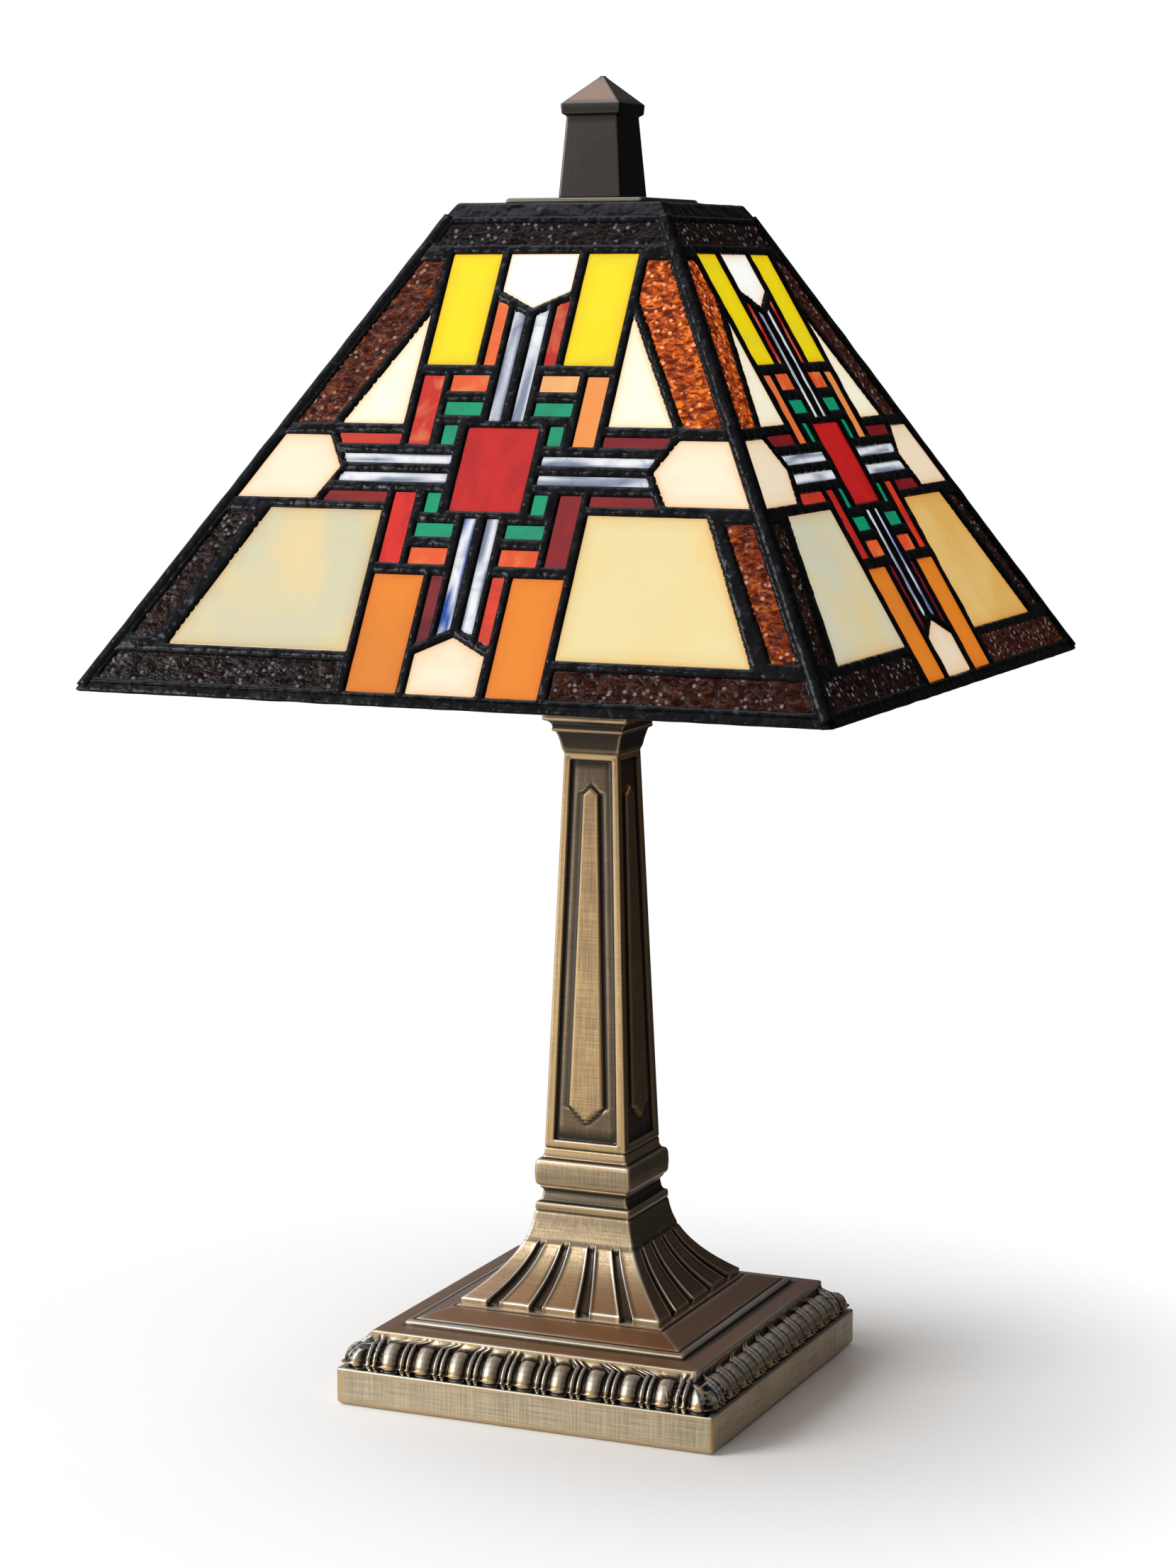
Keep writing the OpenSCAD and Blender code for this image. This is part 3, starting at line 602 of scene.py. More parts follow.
def square_loft(node, outline, columns, corner, relief=0.0, caps=True, shade_and_patina=0.0, soil=1.0, name=None):
    """A square moulding. outline: [(half width, height)] from the bottom up. columns(half, z): places
    across a face in millimetres. corner(half, z): the size of its rounded corners. relief(x, half, z):
    how far it stands out. shade_and_patina(z) darkens the piece at a height, as painted shade where it
    lies in shadow. Each of these three may be a plain number. soil says how dark the sunk places are."""
    count = len(outline)
    vertices, sunk = [], []
    for i, (half, z) in enumerate(outline):
        before, after = outline[max(i - 1, 0)], outline[min(i + 1, count - 1)]
        run, rise = after[0] - before[0], after[1] - before[1]
        size = max(hypot(run, rise), 1e-9)
        out_h, out_z = rise / size, -run / size
        bevel = value_at(corner, half, z)
        places = fitted(columns(half, z), half, half - bevel)
        stands = [value_at(relief, x, half, z) for x in places]
        ring = [(x, -(half + stand * out_h), z + stand * out_z, stand) for x, stand in zip(places, stands)]
        stand = stands[-1]
        wide = half + stand * out_h
        for k in range(1, CORNER_STEPS):
            a = pi / 2 * k / CORNER_STEPS
            ring.append((wide - bevel + bevel * sin(a), -(wide - bevel) - bevel * cos(a),
                         z + stand * out_z, stand))
        # Painted shade given for this height, added to the patina of the sunk places
        shade_at_height = value_at(shade_and_patina, z)
        for c, s in QUARTER_TURNS:
            for x, y, height, stand in ring:
                vertices.append((x * c - y * s, x * s + y * c, height))
                sunk.append(shade_at_height + soil * max(0.0, -stand))
    faces = ring_faces(count, len(vertices) // count, caps=caps)
    piece = add_piece(name or node, vertices, faces, node, [("sunk", sunk)])
    add_bend(piece.data)
    return piece


def even_columns(number, edge=0.9):
    """Columns spread evenly across a face, with one beside each corner."""
    def columns(half, z):
        inner = np.linspace(-1, 1, number) * (half - edge)
        return [-half, *inner, half]
    return columns


def turned(node, outline, sides=48):
    """A turned piece in place of a CAD node, from an outline [(radius, height)]."""
    add_piece(node, ring_points(outline, sides), ring_faces(len(outline), sides), node)


# ---- Base and column ---------------------------------------------------------

def make_plinth():
    """Plinth with an egg-and-reel moulding between its plain band and its ledge."""
    low, high = box_mm("base_casting")
    half = high.x
    band_top, moulding_top = 15.2, 27.2
    eggs_low, eggs_high = 15.7, 27.0
    rib_place, rib_wide = 1.4, 0.95
    egg_pitch, egg_wide, egg_deep = 14.72, 3.4, 2.9
    egg_shares = (-1, -0.94, -0.8, -0.55, -0.28, 0, 0.28, 0.55, 0.8, 0.94, 1)
    ovolo = [(80.1, 15.8), (80.2, 17.4), (79.8, 19.6), (78.6, 22), (76.8, 24.1), (74.4, 25.8), (71.8, 26.9)]
    band = [(half - 1, low.z), (half, low.z + 1), (half, band_top - 0.3), (half - 0.9, band_top + 0.3)]
    ledge = [(70.2, 27.6), (70.2, 28.9), (69.4, 29.2), (60.4, 30), (60.4, 31.2), (58.6, 31.9), (57.4, 31.6),
             (56.6, 32.2), (46.2, 35.5), (45.2, 35.3), (44.6, 36)]
    outline = densified(softened(band, 0.4), 1.0) + densified(ovolo, 0.7)
    outline += densified(softened(ledge, 0.35), 3.0)

    def moulding(x, ring_half, z):
        if not eggs_low - 0.2 <= z <= eggs_high + 0.1 or ring_half > half - 0.5:
            return 0.0
        rise = (z - eggs_low) / (eggs_high - eggs_low)
        ends = sqrt(max(0.0, 1 - abs(2 * rise - 1) ** 7))
        to_corner = ring_half - abs(x)
        off = (x + egg_pitch * 0.5) % egg_pitch - egg_pitch * 0.5
        if to_corner < egg_wide + 0.6:
            off = max(0.0, to_corner - 0.6)
        egg = sqrt(max(0.0, 1 - (off / egg_wide) ** 2)) * ends
        gap = abs(abs(off) - egg_pitch / 2)
        rib = 0.78 * sqrt(max(0.0, 1 - ((gap - rib_place) / rib_wide) ** 2)) * min(1.0, 6 * ends - 1)
        return -egg_deep * (1 - max(egg, rib))

    def moulding_columns(ring_half, z):
        places = []
        for i in range(-5, 6):
            middle = i * egg_pitch
            places += [middle + egg_wide * f for f in egg_shares]
            for rib in (-rib_place, rib_place):
                places += [middle + egg_pitch / 2 + rib + rib_wide * f for f in (-1, -0.8, 0, 0.8, 1)]
        share = ring_half / half
        beaded = eggs_low - 0.5 < z < eggs_high
        return [x if beaded and abs(x) < 62 else x * share for x in places if abs(x) <= half]

    def plinth_corner(ring_half, z):
        return 1.0 if z < band_top + 0.2 or z > moulding_top else 3.6

    square_loft("base_casting", outline, moulding_columns, plinth_corner, moulding, name="plinth")
    cut_inlet()


def make_skirt():
    """The fluted skirt on the plinth, and the neck above it."""
    top = box_mm("base_casting")[1].z
    skirt_top, skirt_foot, foot_half, top_half = 72.4, 38.4, 43.5, 20.8
    groove_top, groove_deep = 59.5, 1.9
    # Shares of the skirt's half width: the grooves' middles, half a groove, and points across one
    places = (-0.668, -0.235, 0.235, 0.668)
    groove_share, lip_share = 0.052, 0.066
    beside_groove = (0.0, 0.03, groove_share, 0.056, 0.059, 0.062, lip_share, 0.072, 0.08, 0.095)

    def skirt_half(s):
        return top_half + (foot_half - top_half) * (0.15 * s + 0.85 * s ** 2.2)

    scored_lines = (groove_top + 0.9, skirt_top - 0.6)
    skirt = [(43.4, 35.2), (43.4, 36.6), (foot_half, 37), (foot_half, 38)]
    steps = 52
    for i in range(steps + 1):
        s = 1 - i / steps
        skirt.append((skirt_half(s), skirt_top + (skirt_foot - skirt_top) * s))
    neck = [(top_half, skirt_top + 0.2), (20.7, 75), (19.4, 75.6), (18.8, 76.6), (18.2, 80), (19.4, 81.4),
            (19.4, top)]
    skirt += densified(softened(neck, 0.4), 1.5)

    def skirt_columns(ring_half, z):
        shares = {round(v, 4) for v in np.linspace(-0.975, 0.975, 47)}
        for place in places:
            near = {v for v in shares if abs(v - place) < 0.09}
            shares -= near
            shares |= {round(place + side * d, 4) for side in (-1, 1) for d in beside_groove}
        return [-ring_half, *(v * ring_half for v in sorted(shares)), ring_half]

    def flutes(x, ring_half, z):
        depth = 0.0
        share = x / ring_half
        if z < groove_top + 0.6:
            nearest = min(abs(share - place) for place in places)
            cut = 1 - smooth_step((nearest - groove_share) / (lip_share - groove_share))
            below = 1 - smooth_step((z - groove_top + 0.7) / 0.9)
            from_edge = (nearest - lip_share) * ring_half
            lip = 0.3 * max(0.0, 1 - abs(from_edge - 0.25) / 0.7) if nearest < 0.11 else 0.0
            depth = (lip * (1 - cut) - groove_deep * cut) * below
        for line in scored_lines:
            depth -= 0.5 * max(0.0, 1 - abs(z - line) / 0.75)
        return depth

    # Painted shade by height: darkest on the neck under the collar, less on the band and grooves below
    def skirt_painted_shade(z):
        if z > skirt_top + 3:
            return 1.3
        return 0.8 if z > groove_top else 0.4

    square_loft("base_casting", skirt, skirt_columns, 0.8, flutes, shade_and_patina=skirt_painted_shade, soil=0.6,
                name="skirt")


def cut_inlet():
    """Opens the back of the plinth where the cord bushing goes in."""
    low, high = box_mm("cord_bushing")
    middle = (low + high) / 2
    mesh = bpy.data.objects["plinth"].data
    form = bmesh.new()
    form.from_mesh(mesh)
    reach = (high.x - low.x) / 2 * 0.8
    doomed = []
    for face in form.faces:
        at = face.calc_center_median()
        if at.y > middle.y * MM and hypot(at.x, at.z - middle.z * MM) < reach * MM:
            doomed.append(face)
    bmesh.ops.delete(form, geom=doomed, context="FACES")
    form.to_mesh(mesh)
    form.free()


def polygon_depth(x, z, corners):
    """How far a point lies inside a convex outline, negative outside it."""
    inside = 1e9
    for (ax, az), (bx, bz) in zip(corners, corners[1:] + corners[:1]):
        size = hypot(bx - ax, bz - az)
        inside = min(inside, ((bx - ax) * (z - az) - (bz - az) * (x - ax)) / size)
    return inside


def make_collar():
    low, high = box_mm("collar")
    foot = low.z
    outline = [(19.2, foot), (20.4, foot + 0.5), (20.8, foot + 1.6), (21, foot + 5.5), (20.8, foot + 9.2),
               (20.3, foot + 10.7), (18.7, foot + 11.3), (18.2, high.z)]
    square_loft("collar", densified(softened(outline, 0.5), 2.0), even_columns(15), 1.0, shade_and_patina=0.55)


def make_shaft():
    """Tapered shaft with a sunk panel on each side, and a raised shield in each panel."""
    low, high = box_mm("column_shaft")
    low_half, high_half = high.x, 11.7
    panel_low, panel_high, deep = low.z + 6.4, high.z - 2.7, 1.2
    shoulder, brow = 14.5, 13.9
    wide, narrow = 7.5, 3.2
    shield = [(-wide, panel_low + shoulder), (0, panel_low + 8), (wide, panel_low + shoulder),
              (narrow, panel_high - brow), (0, panel_high - 10.8), (-narrow, panel_high - brow)]

    def shaft_half(z):
        return low_half + (high_half - low_half) * (z - low.z) / (high.z - low.z)

    def border(z):
        return shaft_half(z) - (4 - (z - panel_low) / (panel_high - panel_low))

    def shaft_columns(ring_half, z):
        b = border(z)
        up = (z - panel_low - shoulder) / (panel_high - panel_low - shoulder - brow)
        s = min(max(wide - (wide - narrow) * up, narrow - 0.3), wide + 0.4)
        right = [s * f for f in (0.2, 0.4, 0.6, 0.8, 0.93)] + [s, s + 0.35, s + 0.7]
        right += [b - 0.45 - (b - 0.45 - s - 0.7) * f for f in (0.66, 0.33, 0)]
        right += [b - 0.1, b + 0.25, b + 0.7, ring_half - 0.8, ring_half]
        return [-x for x in reversed(right)] + [0.0] + right

    def carving(x, ring_half, z):
        inside = min(border(z) - abs(x), z - panel_low, panel_high - z)
        sink = smooth_step((inside + 0.3) / 0.55)
        past = polygon_depth(x, z, shield)
        raised = smooth_step((past + 0.3) / 0.55)
        groove = 0.45 * max(0.0, 1 - abs(z - low.z - 3.0) / 0.6)
        trench = max(0.0, 1 - abs(inside - 0.45) / 0.5, (1 - abs(past + 0.7) / 0.6) * sink)
        return -deep * sink * (1 - raised) - groove - 0.4 * trench

    heights = {low.z + d for d in (0, 0.5, 2, 2.4, 2.8, 3.2, 3.6, 4.2)} | {high.z - 0.5, high.z}
    heights |= {panel_low + d for d in (-0.8, -0.3, 0, 0.3, 0.8)}
    heights |= {panel_low + 6 + 0.45 * i for i in range(22)}
    heights |= {panel_low + 16.5 + 7 * i for i in range(18)}
    heights |= {panel_high - 15 + 0.45 * i for i in range(14)}
    heights |= {panel_high + d for d in (-8, -4, -0.8, -0.3, 0, 0.3, 0.8)}
    outline = [(shaft_half(z), z) for z in sorted(heights) if low.z <= z <= high.z]
    square_loft("column_shaft", outline, shaft_columns, 0.5, carving)


def make_capital():
    low, high = box_mm("capital")
    top = high.z
    outline = [(11.8, low.z), (12.5, low.z + 1.6), (13.1, low.z + 4.6), (14, top - 9), (14.4, top - 8.2),
               (15.4, top - 8), (15.6, top - 7), (15.3, top - 6.6), (15.7, top - 5), (16.8, top - 3.9),
               (18.4, top - 3.4), (18.4, top - 0.5), (17.9, top)]
    # The capital lies in the lampshade's shadow, so it is given much painted shade
    square_loft("capital", densified(softened(outline, 0.35), 1.6), even_columns(13), 0.6,
                shade_and_patina=1.55)


def make_cap_and_finial():
    """The plate on the crown and the finial on it, both open for the harp's stud and the thread insert."""
    low, high = box_mm("cap_plate")
    half, hole = high.x, 3.6
    outline = [(hole, low.z), (half - 0.6, low.z), (half, low.z + 0.5), (half - 0.3, high.z - 0.5),
               (half - 1, high.z), (hole, high.z), (hole, low.z)]
    square_loft("cap_plate", densified(softened(outline, 0.3), 4.0), even_columns(17),
                lambda r, z: min(1.0, 0.3 * r), caps=False)
    low, high = box_mm("finial_block")
    foot, brow, pocket = high.x, high.z - 15.5, 5.6
    outline = [(pocket, low.z + 16), (pocket, low.z), (foot - 0.5, low.z), (foot, low.z + 0.6),
               (foot - 2.4, brow - 0.2), (foot - 0.9, brow + 0.8), (foot - 0.6, brow + 4.5),
               (1.2, high.z - 0.5), (0.9, high.z)]
    square_loft("finial_block", densified(softened(outline, 0.35), 3.0), even_columns(11),
                lambda r, z: min(0.7, 0.3 * r))


# ---- Shade -------------------------------------------------------------------

SHADE_HALF, SHADE_BOTTOM = box_mm("bottom_rim")[1].x, box_mm("bottom_rim")[0].z
SHADE_TOP, SHADE_TOP_HALF = box_mm("crown_band")[1].z, 43.2
SHADE_THICKNESS = 3.2
SHADE_RISE, SHADE_RUN = SHADE_TOP - SHADE_BOTTOM, SHADE_HALF - SHADE_TOP_HALF
SLANT = hypot(SHADE_RISE, SHADE_RUN)
SLOPE = atan2(SHADE_RISE, SHADE_RUN)
RIM_V, CROWN_V = 5, SLANT - 7.3
CENTRE_V = 98.4  # the middle of the cross, up the slope from the bottom edge
GLASS_FRONT, GLASS_BACK = -0.4, -2.8
CAME_LAP, BEAD_WIDTH = 0.6, 1.7
CAME_STEP, NARROWEST_GAP = 1.35, 0.28
HIP_INSET = 1.6
EDGE_FRONT, EDGE_BACK = -0.5, -2.7
RISE_FRONT, RISE_BACK = 1.25, 0.5
FACES = ("came_front", "came_right", "came_back", "came_left")


def face_half(v):
    return SHADE_HALF - v * SHADE_RUN / SLANT


def to_face(points, index):
    """Points [x, y, z] as [across, up the slope, outwards] on one of the four faces."""
    c, s = QUARTER_TURNS[index]
    x = points[:, 0] * c + points[:, 1] * s
    y = -points[:, 0] * s + points[:, 1] * c + SHADE_HALF
    z = points[:, 2] - SHADE_BOTTOM
    return np.stack([x, y * cos(SLOPE) + z * sin(SLOPE), -y * sin(SLOPE) + z * cos(SLOPE)], axis=1)


def from_face(points, index):
    """The way back from to_face."""
    u, v, n = points[:, 0], points[:, 1], points[:, 2]
    y = -SHADE_HALF + v * cos(SLOPE) - n * sin(SLOPE)
    z = SHADE_BOTTOM + v * sin(SLOPE) + n * cos(SLOPE)
    c, s = QUARTER_TURNS[index]
    return np.stack([u * c - y * s, u * s + y * c, z], axis=1)


def pane_outlines(node):
    """[(face index, convex outline [across, up the slope])] for each pane of a glass node."""
    form = bmesh.new()
    form.from_mesh(frame["nodes"][node].data)
    bmesh.ops.remove_doubles(form, verts=form.verts, dist=0.00002)
    seen, panes = set(), []
    for start in form.verts:
        if start.index in seen:
            continue
        group, queue = [], [start]
        seen.add(start.index)
        while queue:
            here = queue.pop()
            group.append(here.co / MM)
            for edge in here.link_edges:
                other = edge.other_vert(here)
                if other.index not in seen:
                    seen.add(other.index)
                    queue.append(other)
        points = np.array([list(p) for p in group])
        middle = points.mean(axis=0)
        index = int(round((atan2(middle[1], middle[0]) + pi / 2) / (pi / 2))) % 4
        local = to_face(points, index)
        front = local[local[:, 2] > (GLASS_FRONT + GLASS_BACK) / 2][:, :2]
        centre = front.mean(axis=0)
        order = np.argsort(np.arctan2(front[:, 1] - centre[1], front[:, 0] - centre[0]))
        panes.append((index, front[order]))
    form.free()

    def row_and_column(pane):
        index, outline = pane
        return index, round(outline[:, 1].mean(), 1), round(outline[:, 0].mean(), 1)

    return sorted(panes, key=row_and_column)


def reach_inside(points, outline):
    """How deep each point lies inside a convex outline, and the way out past its nearest side."""
    depth = np.full(len(points), 1e9)
    outward = np.zeros((len(points), 2))
    for a, b in zip(outline, np.roll(outline, -1, axis=0)):
        way = (b - a) / np.linalg.norm(b - a)
        side = way[0] * (points[:, 1] - a[1]) - way[1] * (points[:, 0] - a[0])
        outward[side < depth] = (way[1], -way[0])
        depth = np.minimum(depth, side)
    return depth, outward


PLAIN_TONES = {"glass_yellow": (250, 226, 8), "glass_amber": (233, 134, 35), "glass_white": (255, 255, 252),
               "glass_cream": (254, 248, 224), "glass_green": (0, 164, 122)}
# For the front's left and right half, then the side's left and right half
OPAL_TONES = ((216, 210, 176), (241, 223, 164), (222, 220, 192), (238, 188, 100))
RED_TONES = ((222, 42, 36), (132, 22, 32), (196, 40, 36), (226, 62, 38))
SHORT_BAR_TONES = ((204, 44, 34), (246, 160, 84), (238, 124, 66), (246, 160, 84))


def brown_tone(front, left, u, w):
    """The dark border: brightest beside the front's right edge, darkest at the top. These tones also set
    the painted glow, so they paint how brightly each band is lit as well as its colour.
    """
    if 0 < w < 90 and abs(u) > 30:
        if front:
            return (104, 46, 24) if left else (204, 88, 26)
        return (188, 80, 28) if left else (60, 30, 22)
    if w > 80:
        return (26, 13, 11)
    if w > -80:
        return (140, 58, 22) if front and not left else (40, 20, 16)
    return (30, 15, 12) if left else (62, 27, 18)


def tone_of(node, index, u, w):
    """A pane's own colour, 0 to 255, by its place beside (u) and above (w) the middle of the cross.
    Opposite faces of the shade match."""
    front, left, upper = index % 2 == 0, u < 0, w > 0
    half = (0 if front else 2) + (0 if left else 1)
    if node in PLAIN_TONES:
        return PLAIN_TONES[node]
    if node == "glass_peach":
        return (248, 226, 196) if w < -40 else (254, 234, 206)
    if node == "glass_opal":
        return OPAL_TONES[half]
    if node == "glass_red":
        return (200, 26, 26) if abs(u) < 10 else RED_TONES[half]
    if node == "glass_dark_red":
        if abs(w) > 38:
            return (226, 70, 44) if front and not left else (98, 20, 38)
        return (206, 62, 44) if left and upper == front else (122, 16, 26)
    if node == "glass_orange":
        if abs(w) < 30:
            return SHORT_BAR_TONES[half]
        if abs(u) > 28 or abs(w) > 43:
            return (238, 112, 56) if front and left else (192, 34, 34)
        if upper and front and not left:
            return (250, 196, 128)
        return (236, 98, 48) if left else (228, 86, 40)
    if node == "glass_streaky":
        return (10, 84, 172) if w < -20 and left == front else (132, 142, 166)
    return brown_tone(front, left, u, w)


def srgb(*values):
    """A colour written 0 to 255, as the shader wants it."""
    return tuple(v / 255 / 12.92 if v <= 10 else ((v / 255 + 0.055) / 1.055) ** 2.4 for v in values)


def pane_sheet(outline, step, rims):
    """One pane's face cut into cells, with a row of points at each depth in rims. Returns its points, its
    faces, and for each point on its edge the next one."""
    form = bmesh.new()
    corners = [form.verts.new((p[0], p[1], 0)) for p in outline]
    form.faces.new(corners)
    low, high = outline.min(axis=0), outline.max(axis=0)

    def cut(place, way):
        geometry = form.verts[:] + form.edges[:] + form.faces[:]
        bmesh.ops.bisect_plane(form, geom=geometry, plane_co=place, plane_no=way, dist=1e-4)

    for a, b in zip(outline, np.roll(outline, -1, axis=0)):
        way = (b - a) / np.linalg.norm(b - a)
        for depth in rims:
            place = a + depth * np.array([-way[1], way[0]])
            cut((*place, 0), (-way[1], way[0], 0))
    for axis in (0, 1):
        pieces = max(1, int((high[axis] - low[axis]) / step))
        for k in range(1, pieces):
            place = low[axis] + (high[axis] - low[axis]) * k / pieces
            cut((place, 0, 0) if axis == 0 else (0, place, 0), (1, 0, 0) if axis == 0 else (0, 1, 0))
    bmesh.ops.remove_doubles(form, verts=form.verts, dist=0.05)
    form.verts.index_update()
    points = np.array([list(v.co) for v in form.verts])
    faces = [[v.index for v in f.verts] for f in form.faces]
    links = {}
    for edge in form.edges:
        if len(edge.link_faces) == 1:
            for corner in edge.link_faces[0].loops:
                if corner.edge == edge:
                    links[corner.vert.index] = corner.link_loop_next.vert.index
    form.free()
    return points, faces, links


def streaked(tone, points, outline, seed):
    """White glass that runs into the pane's tone in streaks along its length."""
    long_way = int(np.argmax(np.ptp(outline, axis=0)))
    low = outline.min(axis=0)
    shades = []
    for p in points:
        along, across = p[long_way] - low[long_way], p[1 - long_way] - low[1 - long_way]
        wave = noise.noise(Vector((along * 0.045, across * 0.45, seed * 0.37)))
        share = smooth_step(0.4 + 1.7 * wave)
        shades.append(tuple(t * share + w * (1 - share) for t, w in zip(tone, (0.90, 0.91, 0.93))))
    return shades


def make_panes(node, panes):
    """All the panes of one glass, each a closed slab with its own tone."""
    hammered, streaks = node == "glass_brown", node == "glass_streaky"
    step = 1.9 if hammered else 1.5 if streaks else 6.0
    ripple_height = 0.55 if hammered else 0.12
    vertices, faces, tones, rims = [], [], [], []
    for index, outline in panes:
        small = np.ptp(outline, axis=0).min() < 12
        points, cells, links = pane_sheet(outline, step, (0.7,) if small else (0.8, 2.4))
        depth, _ = reach_inside(points[:, :2], outline)
        ripple = [noise.noise(Vector((u * 0.28 + 40 * index, v * 0.28, 7.0))) for u, v, _ in points]
        start, count = len(vertices), len(points)
        points[:, 2] = GLASS_FRONT + np.array(ripple) * np.minimum(depth, 1.0) * ripple_height
        vertices.extend(from_face(points, index).tolist())
        points[:, 2] = GLASS_BACK
        vertices.extend(from_face(points, index).tolist())
        faces += [[start + i for i in cell] for cell in cells]
        faces += [[start + count + i for i in reversed(cell)] for cell in cells]
        faces += [[start + a, start + count + a, start + count + b, start + b] for a, b in links.items()]
        centre = outline.mean(axis=0)
        tone = srgb(*tone_of(node, index, centre[0], centre[1] - CENTRE_V))
        tones += (streaked(tone, points, outline, start) if streaks else [tone] * count) * 2
        rims += np.clip(depth / (1.2 if small else 3.2), 0, 1).tolist() * 2
    add_piece(node, vertices, faces, node, [("tone", tones), ("rim", rims)])


def grid_lines(marks, low, high):
    """Grid lines beside each mark, filled in so that no gap is longer than CAME_STEP."""
    offsets = (CAME_LAP, CAME_LAP - 0.7)
    wanted = sorted({round(m + side * d, 2) for m in marks for d in offsets for side in (-1, 1)})
    kept = [low]
    for value in wanted:
        if value - kept[-1] > NARROWEST_GAP and high - value > NARROWEST_GAP:
            kept.append(value)
    kept.append(high)
    return np.array([p[0] for p in densified([(v, 0) for v in kept], CAME_STEP)])


def make_came(index, outlines):
    """The soldered came of one face: rounded beads between the panes, dipping under the edge of each."""
    marks_u, marks_v = set(), set()
    for outline in outlines:
        for a, b in zip(outline, np.roll(outline, -1, axis=0)):
            if abs(a[0] - b[0]) < 0.05:
                marks_u.add(round(float(a[0]), 1))
            if abs(a[1] - b[1]) < 0.05:
                marks_v.add(round(float(a[1]), 1))
    across = grid_lines(marks_u, -face_half(RIM_V) + 1, face_half(RIM_V) - 1)
    up = grid_lines(marks_v, RIM_V - 0.6, CROWN_V + 0.6)
    u, v = np.meshgrid(across, up)
    flat = np.stack([u.ravel(), v.ravel()], axis=1)
    far = 9.0
    away = np.full(len(flat), far)
    outward = np.zeros(flat.shape)
    for outline in outlines:
        low, high = outline.min(axis=0) - far, outline.max(axis=0) + far
        near = np.nonzero((flat > low).all(axis=1) & (flat < high).all(axis=1))[0]
        depth, way = reach_inside(flat[near], outline)
        nearer = CAME_LAP - depth < away[near]
        away[near[nearer]] = (CAME_LAP - depth)[nearer]
        outward[near[nearer]] = way[nearer]
    slanted = (np.abs(outward) > 0.1).all(axis=1) & (np.abs(away) < 0.6)
    flat[slanted] -= outward[slanted] * away[slanted, None]
    away[slanted] = 0
    inset = face_half(flat[:, 1]) - np.abs(flat[:, 0])
    round_up = np.sqrt(np.clip(1 - (1 - np.clip(away, 0, BEAD_WIDTH) / BEAD_WIDTH) ** 2, 0, 1))
    lumps = np.array([noise.noise(Vector((p[0] * 0.16 + 9 * index, p[1] * 0.16, 3.0)))
                      + 0.4 * noise.noise(Vector((p[0] * 0.55, p[1] * 0.55, 5.0 + index))) for p in flat])
    outer = EDGE_FRONT + np.where(away > 0, RISE_FRONT * round_up + 0.3 * lumps * round_up, 0.9 * away)
    outer = -0.6 + (outer + 0.6) * np.clip((inset - 2) / 2.5, 0, 1)
    inner = EDGE_BACK - np.where(away > 0, RISE_BACK * round_up - 0.12 * lumps * round_up, 0.6 * away)
    wanted = ((away > -0.85) & (inset > HIP_INSET)).reshape(u.shape)
    row, column = np.nonzero(wanted[:-1, :-1] & wanted[1:, :-1] & wanted[:-1, 1:] & wanted[1:, 1:])
    width = len(across)
    corner = row * width + column
    quads = np.stack([corner, corner + 1, corner + width + 1, corner + width], axis=1)
    used = np.zeros(u.size, bool)
    used[quads.ravel()] = True
    quads = (np.cumsum(used) - 1)[quads].tolist()
    count = int(used.sum())
    front = from_face(np.column_stack([flat[used], outer[used]]), index)
    back = from_face(np.column_stack([flat[used], inner[used]]), index)
    faces = quads + [[count + i for i in reversed(quad)] for quad in quads]
    open_sides = {}
    for quad in quads:
        for a, b in zip(quad, quad[1:] + quad[:1]):
            if open_sides.pop((b, a), None) is None:
                open_sides[a, b] = True
    faces += [[b, a, count + a, count + b] for a, b in open_sides]
    add_piece(FACES[index], np.concatenate([front, back]), faces, FACES[index])


def make_hips():
    """Rounded, slightly lumpy solder beads along the four corners."""
    radius, sunk, past_end = 3.3, 2.6, 2
    sides, rings = 16, 121
    vertices, faces = [], []
    for turn, (c, s) in enumerate(QUARTER_TURNS):
        faces += ring_faces(rings, sides, len(vertices), caps=True)
        for i in range(rings):
            v = RIM_V - past_end + (CROWN_V - RIM_V + 2 * past_end) * i / (rings - 1)
            half = face_half(v)
            z = SHADE_BOTTOM + v * sin(SLOPE)
            lump = 1 + 0.07 * noise.noise(Vector((v * 0.12, turn * 5.0, 0)))
            for k in range(sides):
                a = 2 * pi * k / sides
                out = radius * lump * cos(a) - sunk
                side = radius * 0.95 * sin(a)
                x = half + (out * sin(SLOPE) + side) / sqrt(2)
                y = -half - (out * sin(SLOPE) - side) / sqrt(2)
                vertices.append((x * c - y * s, x * s + y * c, z + out * cos(SLOPE)))
    add_piece("hip_cames", vertices, faces, "hip_cames")


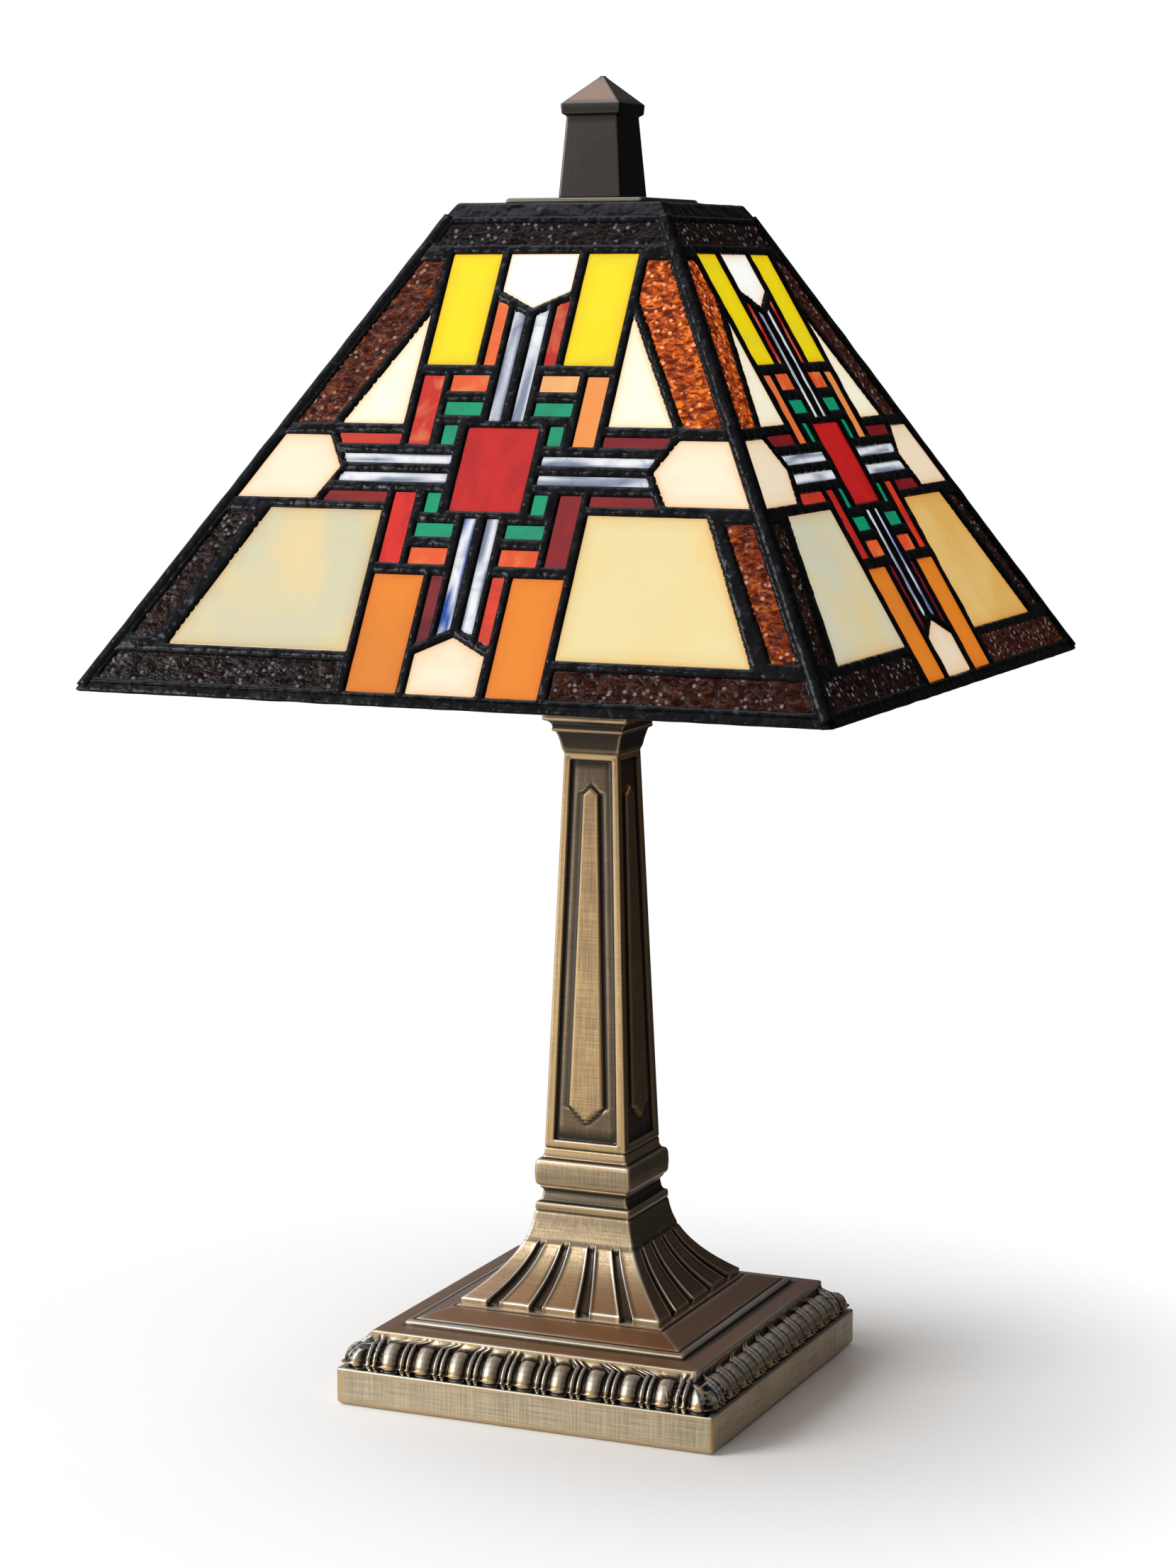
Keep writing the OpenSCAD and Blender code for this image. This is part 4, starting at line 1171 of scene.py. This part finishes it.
def make_rims():
    """The bands along the shade's bottom and top edge, with a soldered, uneven surface."""
    def lumpy(x, half, z):
        return 0.22 * noise.noise(Vector((x * 0.12, half * 0.3, z * 0.3))) - 0.12

    def add_band(node, outline, rounding, columns, corner):
        closed = densified(softened([*outline, outline[0]], rounding), 2.0)
        square_loft(node, closed, even_columns(columns), corner, lumpy, caps=False)

    thick = SHADE_THICKNESS / sin(SLOPE)
    low, high = SHADE_BOTTOM, SHADE_BOTTOM + RIM_V * sin(SLOPE)
    wide, narrow = SHADE_HALF, face_half(RIM_V)
    outline = [(wide - thick, low), (wide - 0.9, low), (wide - 0.1, low + 0.9), (narrow + 0.2, high),
               (narrow - 1.6, high + 0.9), (narrow - thick, high)]
    add_band("bottom_rim", outline, 0.9, 121, 1.6)
    low, high = SHADE_BOTTOM + CROWN_V * sin(SLOPE), SHADE_TOP
    wide, narrow = face_half(CROWN_V), SHADE_TOP_HALF
    outline = [(wide - thick, low), (wide - 1.4, low - 0.8), (wide + 0.5, low), (narrow + 0.4, high - 0.9),
               (narrow - 0.6, high), (narrow - thick, high)]
    add_band("crown_band", outline, 0.7, 45, 1.2)


def make_shade():
    outlines = [[] for _ in FACES]
    for node in sorted(frame["nodes"]):
        if node.startswith("glass_"):
            panes = pane_outlines(node)
            for index, outline in panes:
                outlines[index].append(outline)
            make_panes(node, panes)
    for index in range(len(FACES)):
        make_came(index, outlines[index])
    make_hips()
    make_rims()


# ---- Harp, socket and bulb ---------------------------------------------------

def walk(at, heading, bends, steps):
    """Points and headings along straight stretches [length, 0] and bends [radius, turn in degrees]."""
    points = [(at, heading)]
    for size, turn in bends:
        (x, z), h = points[-1]
        if turn == 0:
            points.append(((x - size * sin(h), z + size * cos(h)), h))
            continue
        side = 1 if turn > 0 else -1
        centre = (x - side * size * cos(h), z - side * size * sin(h))
        for k in range(1, steps + 1):
            a = h + radians(turn) * k / steps
            points.append(((centre[0] + side * size * cos(a), centre[1] + side * size * sin(a)), a))
    return points


def make_harp():
    """Bent wire with the hub at its top."""
    low, high = box_mm("harp_wire")
    leg, radius, sides, hub_sides = 24.3, 2.0, 20, 32
    stretches = [(22, 0), (40, -35), (10, 0), (60, 55), (52.5, 0), (28.3, 70)]
    half_path = walk((leg, low.z), 0.0, stretches, 10)
    path = half_path + [((-x, z), pi - h) for (x, z), h in reversed(half_path[:-1])]
    vertices = []
    for (x, z), h in path:
        for k in range(sides):
            a = 2 * pi * k / sides
            vertices.append((x + radius * cos(a) * cos(h), radius * sin(a), z + radius * cos(a) * sin(h)))
    faces = [(a, d, c, b) for a, b, c, d in ring_faces(len(path), sides)]
    last = (len(path) - 1) * sides
    faces += [tuple(range(sides)), tuple(reversed(range(last, last + sides)))]
    hub = [(0.01, -6), (4.6, -6), (5, -5.6), (5, -0.4), (4.6, 0), (0.01, 0)]
    faces += ring_faces(len(hub), hub_sides, len(vertices))
    vertices += ring_points([(r, high.z + drop) for r, drop in hub], hub_sides)
    add_piece("harp_wire", vertices, faces, "harp_wire")


def make_socket():
    """Turned socket cap, and the shell in it with two pressed beads."""
    low, high = box_mm("socket_cap")
    wide, hole = high.x, 5.4
    turned("socket_cap", [
        (hole, low.z), (7.6, low.z), (8, low.z + 0.5), (8, 285), (9, 286), (14.6, 288.4), (16.4, 290.4),
        (wide, 292), (wide, high.z - 0.3), (wide - 0.3, high.z), (wide - 1.2, high.z), (wide - 1.2, 293),
        (13.5, 290), (hole, 286), (hole, low.z)])
    low, high = box_mm("socket_shell")
    outline = [(wide - 1, low.z), (wide - 0.2, low.z), (wide, low.z + 0.4)]
    for bead in (low.z + 5, high.z - 7):
        outline += [(wide, bead - 1), (wide - 0.7, bead - 0.4), (wide - 0.7, bead + 0.4), (wide, bead + 1)]
    outline += [(wide, high.z - 0.5), (wide - 0.4, high.z), (wide - 1, high.z), (wide - 1, low.z)]
    turned("socket_shell", densified(outline, 3.0))


def make_bulb():
    """Glass envelope and the screw cap below it."""
    low, high = box_mm("bulb_glass")
    radius = high.x
    centre = high.z - radius
    outline = [(12.6, low.z), (13.0, low.z + 5), (14.4, low.z + 12), (17.2, low.z + 20)]
    angles = np.linspace(radians(-42), pi / 2 - 0.01, 28)
    outline += [(radius * cos(a), centre + radius * sin(a)) for a in angles]
    turned("bulb_glass", outline, 56)
    low, high = box_mm("bulb_cap")
    turns, steps = 6, 35
    outline = [(0.05, low.z), (5, low.z), (9, low.z + 2)]
    for i in range(steps + 1):
        t = i / steps
        outline.append((12.7 + 0.4 * sin(2 * pi * t * turns), low.z + 3 + 16.5 * t))
    outline += [(12.6, high.z - 1), (12.6, high.z)]
    turned("bulb_cap", outline, 40)


def finish_carried_nodes():
    """Gives each CAD node that is shown as it is the material of its slot."""
    for name, node in frame["nodes"].items():
        if node.hide_render:
            continue
        node.data.materials.clear()
        node.data.materials.append(MATERIALS[SLOT_OF[name]])


MATERIALS = make_materials()
set_world()
add_camera()
add_lights()
add_floor()
make_plinth()
make_skirt()
make_collar()
make_shaft()
make_capital()
make_cap_and_finial()
make_shade()
make_harp()
make_socket()
make_bulb()
finish_carried_nodes()

scene = bpy.context.scene
scene.view_settings.view_transform = "Standard"
scene.view_settings.exposure = 0.0
